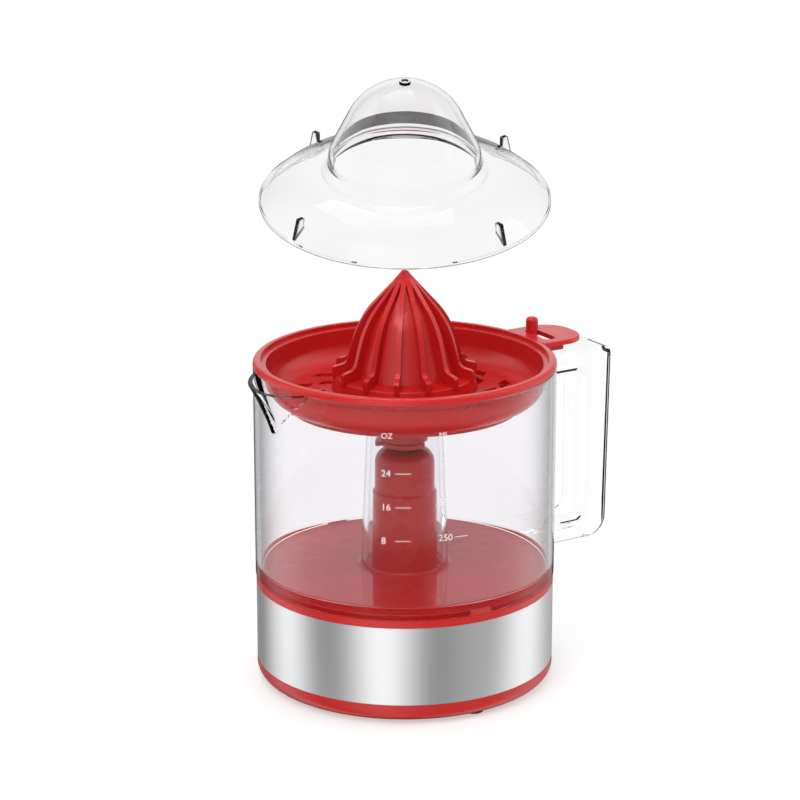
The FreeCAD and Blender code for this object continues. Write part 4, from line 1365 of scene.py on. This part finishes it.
@dataclass
class Lid:
    """Clear lid: convex brim, drawn-in dome, four fins and a dimpled nub, leant to the front."""

    radius: float = 66.4
    thick: float = 2.0
    seat: float = 153.0
    raised: float = 76.0
    lean: float = 14.5
    faces: float = 238.0
    edge: float = 2.6
    bend: Tuple[float, float] = (53.2, 14.0)
    collar: Tuple[float, float, float] = (34.7, 17.0, 24.5)
    rounds: Tuple[float, float, float, float] = (1.0, 40.0, 5.0, 10.0)
    draft: float = 26.4
    height: float = 58.3
    nub: Tuple[float, float] = (2.6, 1.2)
    nub_bevel: float = 0.3
    dimple: Tuple[float, float] = (1.0, 0.7)
    fin: Tuple[float, float, float, float] = (0.2, 2.9, 6.1, 12.2)
    fin_angles: Tuple[float, ...] = (10.0, 100.0, 190.0, 280.0)
    fin_thick: float = 2.2
    fin_bevel: float = 0.3
    # Heights of the painted dark shade band on the collar's inner faces.
    painted_shade: Tuple[float, float] = (23.4, 31.4)
    glazing: Tuple[Glazing, ...] = (Glazing.LID, Glazing.EDGE, Glazing.COLLAR)

    def build(self, shop: Workshop) -> None:
        """Makes and dresses the lid.

        Args:
            shop: Tools and finishes.
        """
        nub_r, nub_h = self.nub
        lip, deep = self.dimple
        edge = self.radius - self.thick
        top = self.height + nub_h
        nub = [
            (nub_r, self.height - 0.12),
            (nub_r, top - self.nub_bevel),
            (nub_r - self.nub_bevel, top),
            (nub_r - lip, top),
            (nub_r - lip - self.nub_bevel, top - deep),
            (0.0, top - deep),
        ]
        foot = [(edge, 0.0), (self.radius, 0.0, 0.5)]
        drawn = rounded(foot + self.surface(0.0) + self.surface(self.thick)[::-1], 40)
        crown = min(range(len(drawn)), key=lambda i: abs(drawn[i][0]) + abs(drawn[i][1] - self.height))
        shell = [spot for spot in drawn[:crown] if spot[0] > nub_r] + nub + drawn[crown + 1 :]
        bm = shop.turned([(r, z + self.seat) for r, z in shell], 240)
        # Cuts the rings where the painted collar shade band starts and ends.
        for level in self.painted_shade:
            shop.score(bm, (0, 0, (self.seat + level) * MM), (0, 0, 1))
        for face in bm.faces:
            face.material_index = self.zone(shop, face)
        for angle in self.fin_angles:
            self.add_fin(shop, bm, angle)
        self.lift(shop, bm)
        glazing = [shop.finishes.clear[kind] for kind in self.glazing]
        made = shop.piece("lid_clear", bm, "lid_body", Slot.CLEAR, 34.0, glazing)
        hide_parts("lid")

    def zone(self, shop: Workshop, face: bmesh.types.BMFace) -> int:
        """Index of the glazing that a face of the seated lid takes, with its painted dark edge lines and
        collar shade band.

        Args:
            shop: Tools and finishes.
            face: Face of the lid.

        Returns:
            Place of the glazing in the lid's list.
        """
        r, height = shop.middle(face)
        z = height - self.seat
        _, angle, _ = shop.polar(face.verts[0])
        out = Vector((math.cos(angle), math.sin(angle), 0.0))
        low, high = self.painted_shade
        kind = Glazing.LID
        # EDGE paints near-black lines on the brim's edge and the nub's sides; COLLAR paints the dark band.
        if (r > self.radius - 0.6 and z < 0.9) or (z > self.height and abs(face.normal.z) < 0.7):
            kind = Glazing.EDGE
        elif low < z < high and face.normal.dot(out) < -0.3:
            kind = Glazing.COLLAR
        return self.glazing.index(kind)

    def surface(self, inset: float) -> List[Tuple[float, ...]]:
        """Corners of the lid's surface from its edge to its top.

        Args:
            inset: Depth in mm below the outside.

        Returns:
            Radius and height of each corner, and its rounding.
        """
        collar_r, rise, collar_z = self.collar
        edge_round, bend_round, foot_round, collar_round = self.rounds
        draft = math.radians(self.draft)
        collar_z -= inset * math.tan(draft / 2)
        cap = collar_r - inset - (self.height - inset - collar_z) * math.tan(draft)
        cap_r = 0.995 * cap * math.tan(math.pi / 4 + draft / 2)
        return [
            (self.radius - inset, self.edge - inset, 0.0 if inset > 0.0 else edge_round),
            (self.bend[0] - inset / 2, self.bend[1] - inset, bend_round),
            (collar_r - inset, rise - inset, foot_round),
            (collar_r - inset, collar_z, collar_round),
            (cap, self.height - inset, cap_r),
            (0.0, self.height - inset),
        ]

    def lift(self, shop: Workshop, bm: bmesh.types.BMesh) -> None:
        """Turns the seated lid about the far line that it is lifted round.

        Args:
            shop: Tools and finishes.
            bm: Lid mesh on its seat.
        """
        away = self.raised / 2 / math.tan(math.radians(self.lean / 2))
        a = math.radians(self.faces)
        middle = self.seat + self.raised / 2
        centre = Vector((shop.axis_x / MM + away * math.cos(a), away * math.sin(a), middle))
        line = Vector((-math.sin(a), math.cos(a), 0.0))
        turn = Matrix.Rotation(math.radians(self.lean), 3, line)
        bmesh.ops.rotate(bm, cent=centre * MM, matrix=turn, verts=bm.verts)

    def add_fin(self, shop: Workshop, bm: bmesh.types.BMesh, angle: float) -> None:
        """Stands a thin fin on the brim near its edge.

        Args:
            shop: Tools and finishes.
            bm: Lid mesh that takes the fin.
            angle: Its direction in degrees.
        """
        foot, outer, inner, high = self.fin
        slope = (self.bend[1] - self.edge) / (self.radius - self.bend[0])
        low = self.edge + 0.05
        corners = ((foot, low + foot * slope), (outer, high), (inner, high), (inner, low + inner * slope))
        a = math.radians(angle)
        side = Vector((-math.sin(a), math.cos(a), 0)) * self.fin_thick * MM
        verts = []
        for step, z in corners:
            vert = bm.verts.new((0, 0, 0))
            shop.move(vert, self.radius - step, a, self.seat + z)
            vert.co -= side / 2
            verts.append(vert)
        face = bm.faces.new(verts)
        fresh = shop.grow(bm, [face], side)
        walls = {f for v in verts + fresh for f in v.link_faces}
        bmesh.ops.recalc_face_normals(bm, faces=list(walls))
        # Narrow fin walls get near-black painted edge shade.
        for wall in walls:
            narrow = abs(wall.normal.dot(side.normalized())) < 0.5
            wall.material_index = self.glazing.index(Glazing.EDGE if narrow else Glazing.LID)
        tops = {e for v in (verts[1], verts[2], fresh[1], fresh[2]) for e in v.link_edges}
        width = self.fin_bevel * MM
        bmesh.ops.bevel(bm, geom=list(tops), offset=width, segments=3, profile=0.5, affect="EDGES")


@dataclass
class Studio:
    """Camera at the photographed angle, soft light, pale floor and white surround."""

    axis_x: float
    lens: float = 130.95
    sensor: float = 36.0
    distance: float = 1.2960
    height: float = 0.5193
    pitch: float = 16.551
    azimuth: float = -32.0
    aside: float = 0.0975
    surround: float = 0.62
    gloss: float = 1.5
    horizon: Tuple[float, float] = (-0.12, 0.05)
    gloss_stops: Tuple[Tuple[float, float], ...] = (
        (0.0, 0.24), (0.105, 0.97), (0.235, 0.223), (0.31, 0.337), (0.345, 0.293), (0.461, 0.892),
        (0.561, 0.35), (0.628, 0.60), (0.66, 0.64), (0.694, 0.65), (0.761, 0.136), (0.883, 0.90),
        (0.972, 0.16), (1.0, 0.24),
    )
    under_stops: Tuple[Tuple[float, float], ...] = (
        (0.0, 1.0), (0.58, 1.0), (0.62, 0.04), (0.70, 0.04), (0.74, 1.0), (1.0, 1.0),
    )
    lamps: Tuple[Tuple[str, Tuple[float, float, float], float, float], ...] = (
        ("key_soft", (-0.95, -0.75, 1.35), 1.1, 15.0),
        ("fill_soft", (1.05, -0.70, 0.95), 0.9, 6.0),
        ("top_soft", (0.05, 0.35, 1.55), 0.9, 7.0),
    )
    aim: float = 0.14
    floor_light: Colour = (0.97, 0.97, 0.97, 1.0)
    floor_dark: Colour = (0.955, 0.955, 0.955, 1.0)
    floor_half: float = 6.0
    shadow_ends: Tuple[float, float] = (0.09, 0.24)
    shadow_share: float = 0.5

    def build(self) -> None:
        """Sets up the whole studio."""
        self.stand_camera()
        self.light_world()
        self.lay_floor()
        for name, place, size, power in self.lamps:
            self.hang_lamp(name, place, size, power)

    def stand_camera(self) -> None:
        """Places the camera and makes it the scene's own."""
        data = bpy.data.cameras.new("front_view")
        data.lens = self.lens
        data.sensor_fit = "HORIZONTAL"
        data.sensor_width = self.sensor
        camera = bpy.data.objects.new("front_view", data)
        a = math.radians(self.azimuth)
        camera.location = (
            self.axis_x + math.sin(a) * self.distance,
            -math.cos(a) * self.distance,
            self.height,
        )
        turn = math.radians(self.azimuth + self.aside)
        camera.rotation_euler = (math.radians(90.0 - self.pitch), 0.0, turn)
        bpy.context.scene.collection.objects.link(camera)
        bpy.context.scene.camera = camera
        LOG.info("camera %s", tuple(round(v, 4) for v in camera.location))

    def sector(self, graph: Graph, vector: Socket) -> Socket:
        """Grey level of the surround by direction, as soft panels stand round the table.

        Args:
            graph: Node graph to add to.
            vector: Direction or place about the drive axis.

        Returns:
            The grey level's socket.
        """
        parts = graph.node("ShaderNodeSeparateXYZ")
        graph.feed(parts.inputs[0], vector)
        angle = graph.math("ARCTAN2", parts.outputs["Y"], parts.outputs["X"])
        share = graph.math("MULTIPLY_ADD", angle, 0.5 / math.pi)
        share.node.inputs[2].default_value = 0.5
        level = graph.node("ShaderNodeMapRange", interpolation_type="SMOOTHSTEP")
        graph.feed(level.inputs["Value"], parts.outputs["Z"])
        level.inputs["From Min"].default_value = self.horizon[0]
        level.inputs["From Max"].default_value = self.horizon[1]
        panels = graph.ramp(share, self.gloss_stops)
        under = graph.math("MULTIPLY", panels, graph.ramp(share, self.under_stops))
        return graph.mix(level.outputs["Result"], under, panels)

    def light_world(self) -> None:
        """White surround for the eye and for glass, panels for gloss, even light for the rest."""
        world = bpy.data.worlds.new("studio")
        bpy.context.scene.world = world
        world.use_nodes = True
        world.node_tree.nodes.clear()
        graph = Graph(world.node_tree)
        end = graph.node("ShaderNodeOutputWorld")
        path = graph.node("ShaderNodeLightPath")
        panels = self.sector(graph, graph.node("ShaderNodeTexCoord").outputs["Generated"])
        plain = graph.node("ShaderNodeBackground")
        plain.inputs["Strength"].default_value = self.surround
        white = graph.node("ShaderNodeBackground")
        gloss = graph.node("ShaderNodeBackground")
        white.inputs["Color"].default_value = (1.0, 1.0, 1.0, 1.0)
        plain.inputs["Color"].default_value = (1.0, 1.0, 1.0, 1.0)
        graph.feed(gloss.inputs["Color"], panels)
        gloss.inputs["Strength"].default_value = self.gloss
        seen = graph.math("MAXIMUM", path.outputs["Is Camera Ray"], path.outputs["Is Transmission Ray"])
        first = graph.node("ShaderNodeMixShader")
        graph.feed(first.inputs[0], path.outputs["Is Glossy Ray"])
        graph.feed(first.inputs[1], plain.outputs[0])
        graph.feed(first.inputs[2], gloss.outputs[0])
        second = graph.node("ShaderNodeMixShader")
        graph.feed(second.inputs[0], seen)
        graph.feed(second.inputs[1], first.outputs[0])
        graph.feed(second.inputs[2], white.outputs[0])
        graph.feed(end.inputs["Surface"], second.outputs[0])

    def lay_floor(self) -> None:
        """Pale floor that keeps the shadow near the base and turns plain white beyond it."""
        bm = bmesh.new()
        bmesh.ops.create_grid(bm, x_segments=2, y_segments=2, size=self.floor_half)
        mesh = bpy.data.meshes.new("floor")
        bm.to_mesh(mesh)
        bm.free()
        material, graph, shader, end = start_material("floor_pale")
        place = graph.place()
        shift = graph.node("ShaderNodeVectorMath", operation="SUBTRACT")
        graph.feed(shift.inputs[0], place)
        shift.inputs[1].default_value = (self.axis_x, 0.0, 0.0)
        tone = graph.noise(place, 6.0, 2.0)
        graph.feed(shader.inputs["Base Color"], graph.mix(tone, self.floor_light, self.floor_dark))
        shader.inputs["Roughness"].default_value = 0.9
        shader.inputs["Specular IOR Level"].default_value = 0.0
        glow = graph.node("ShaderNodeEmission")
        glow.inputs["Color"].default_value = (1.0, 1.0, 1.0, 1.0)
        away = graph.node("ShaderNodeVectorMath", operation="LENGTH")
        graph.feed(away.inputs[0], shift.outputs[0])
        near = graph.node("ShaderNodeMapRange", interpolation_type="SMOOTHSTEP")
        graph.feed(near.inputs["Value"], away.outputs["Value"])
        near.inputs["From Min"].default_value = self.shadow_ends[0]
        near.inputs["From Max"].default_value = self.shadow_ends[1]
        near.inputs["To Min"].default_value = self.shadow_share
        near.inputs["To Max"].default_value = 0.0
        path = graph.node("ShaderNodeLightPath")
        through = graph.math("SUBTRACT", 1.0, path.outputs["Is Transmission Ray"])
        kept = graph.math("MULTIPLY", near.outputs["Result"], through)
        plain = graph.math("MAXIMUM", kept, path.outputs["Is Diffuse Ray"])
        paper = graph.node("ShaderNodeMixShader")
        graph.feed(paper.inputs[0], plain)
        graph.feed(paper.inputs[1], glow.outputs[0])
        graph.feed(paper.inputs[2], shader.outputs[0])
        open_way = graph.node("ShaderNodeBsdfTransparent")
        mixer = graph.node("ShaderNodeMixShader")
        graph.feed(mixer.inputs[0], path.outputs["Is Glossy Ray"])
        graph.feed(mixer.inputs[1], paper.outputs[0])
        graph.feed(mixer.inputs[2], open_way.outputs[0])
        graph.feed(end.inputs["Surface"], mixer.outputs[0])
        material.cycles.emission_sampling = "NONE"
        mesh.materials.append(material)
        floor = bpy.data.objects.new("floor", mesh)
        bpy.context.scene.collection.objects.link(floor)

    def hang_lamp(self, name: str, place: Tuple[float, float, float], size: float, power: float) -> None:
        """Hangs a square soft lamp aimed at the juicer.

        Args:
            name: Lamp name.
            place: Position in metres.
            size: Side in metres.
            power: Strength in watts.
        """
        data = bpy.data.lights.new(name, "AREA")
        data.shape = "SQUARE"
        data.size = size
        data.energy = power
        lamp = bpy.data.objects.new(name, data)
        lamp.location = place
        aim = Vector((self.axis_x, 0.0, self.aim)) - Vector(place)
        lamp.rotation_euler = aim.to_track_quat("-Z", "Y").to_euler()
        lamp.visible_glossy = False
        bpy.context.scene.collection.objects.link(lamp)


def main() -> None:
    """Builds every sub-assembly in order."""
    logging.basicConfig(level=logging.INFO, format="%(name)s: %(message)s")
    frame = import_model()
    low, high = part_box("steel_band")
    axis_x = (low.x + high.x) / 2
    shop = Workshop(frame, Finishes(Effects(axis_x)).build(), axis_x)
    Studio(axis_x).build()
    Base().build(shop)
    Jug().build(shop)
    Strainer().build(shop)
    Press().build(shop)
    Lid().build(shop)
    bpy.context.scene.view_settings.view_transform = "Standard"


if __name__ == "__main__":
    main()
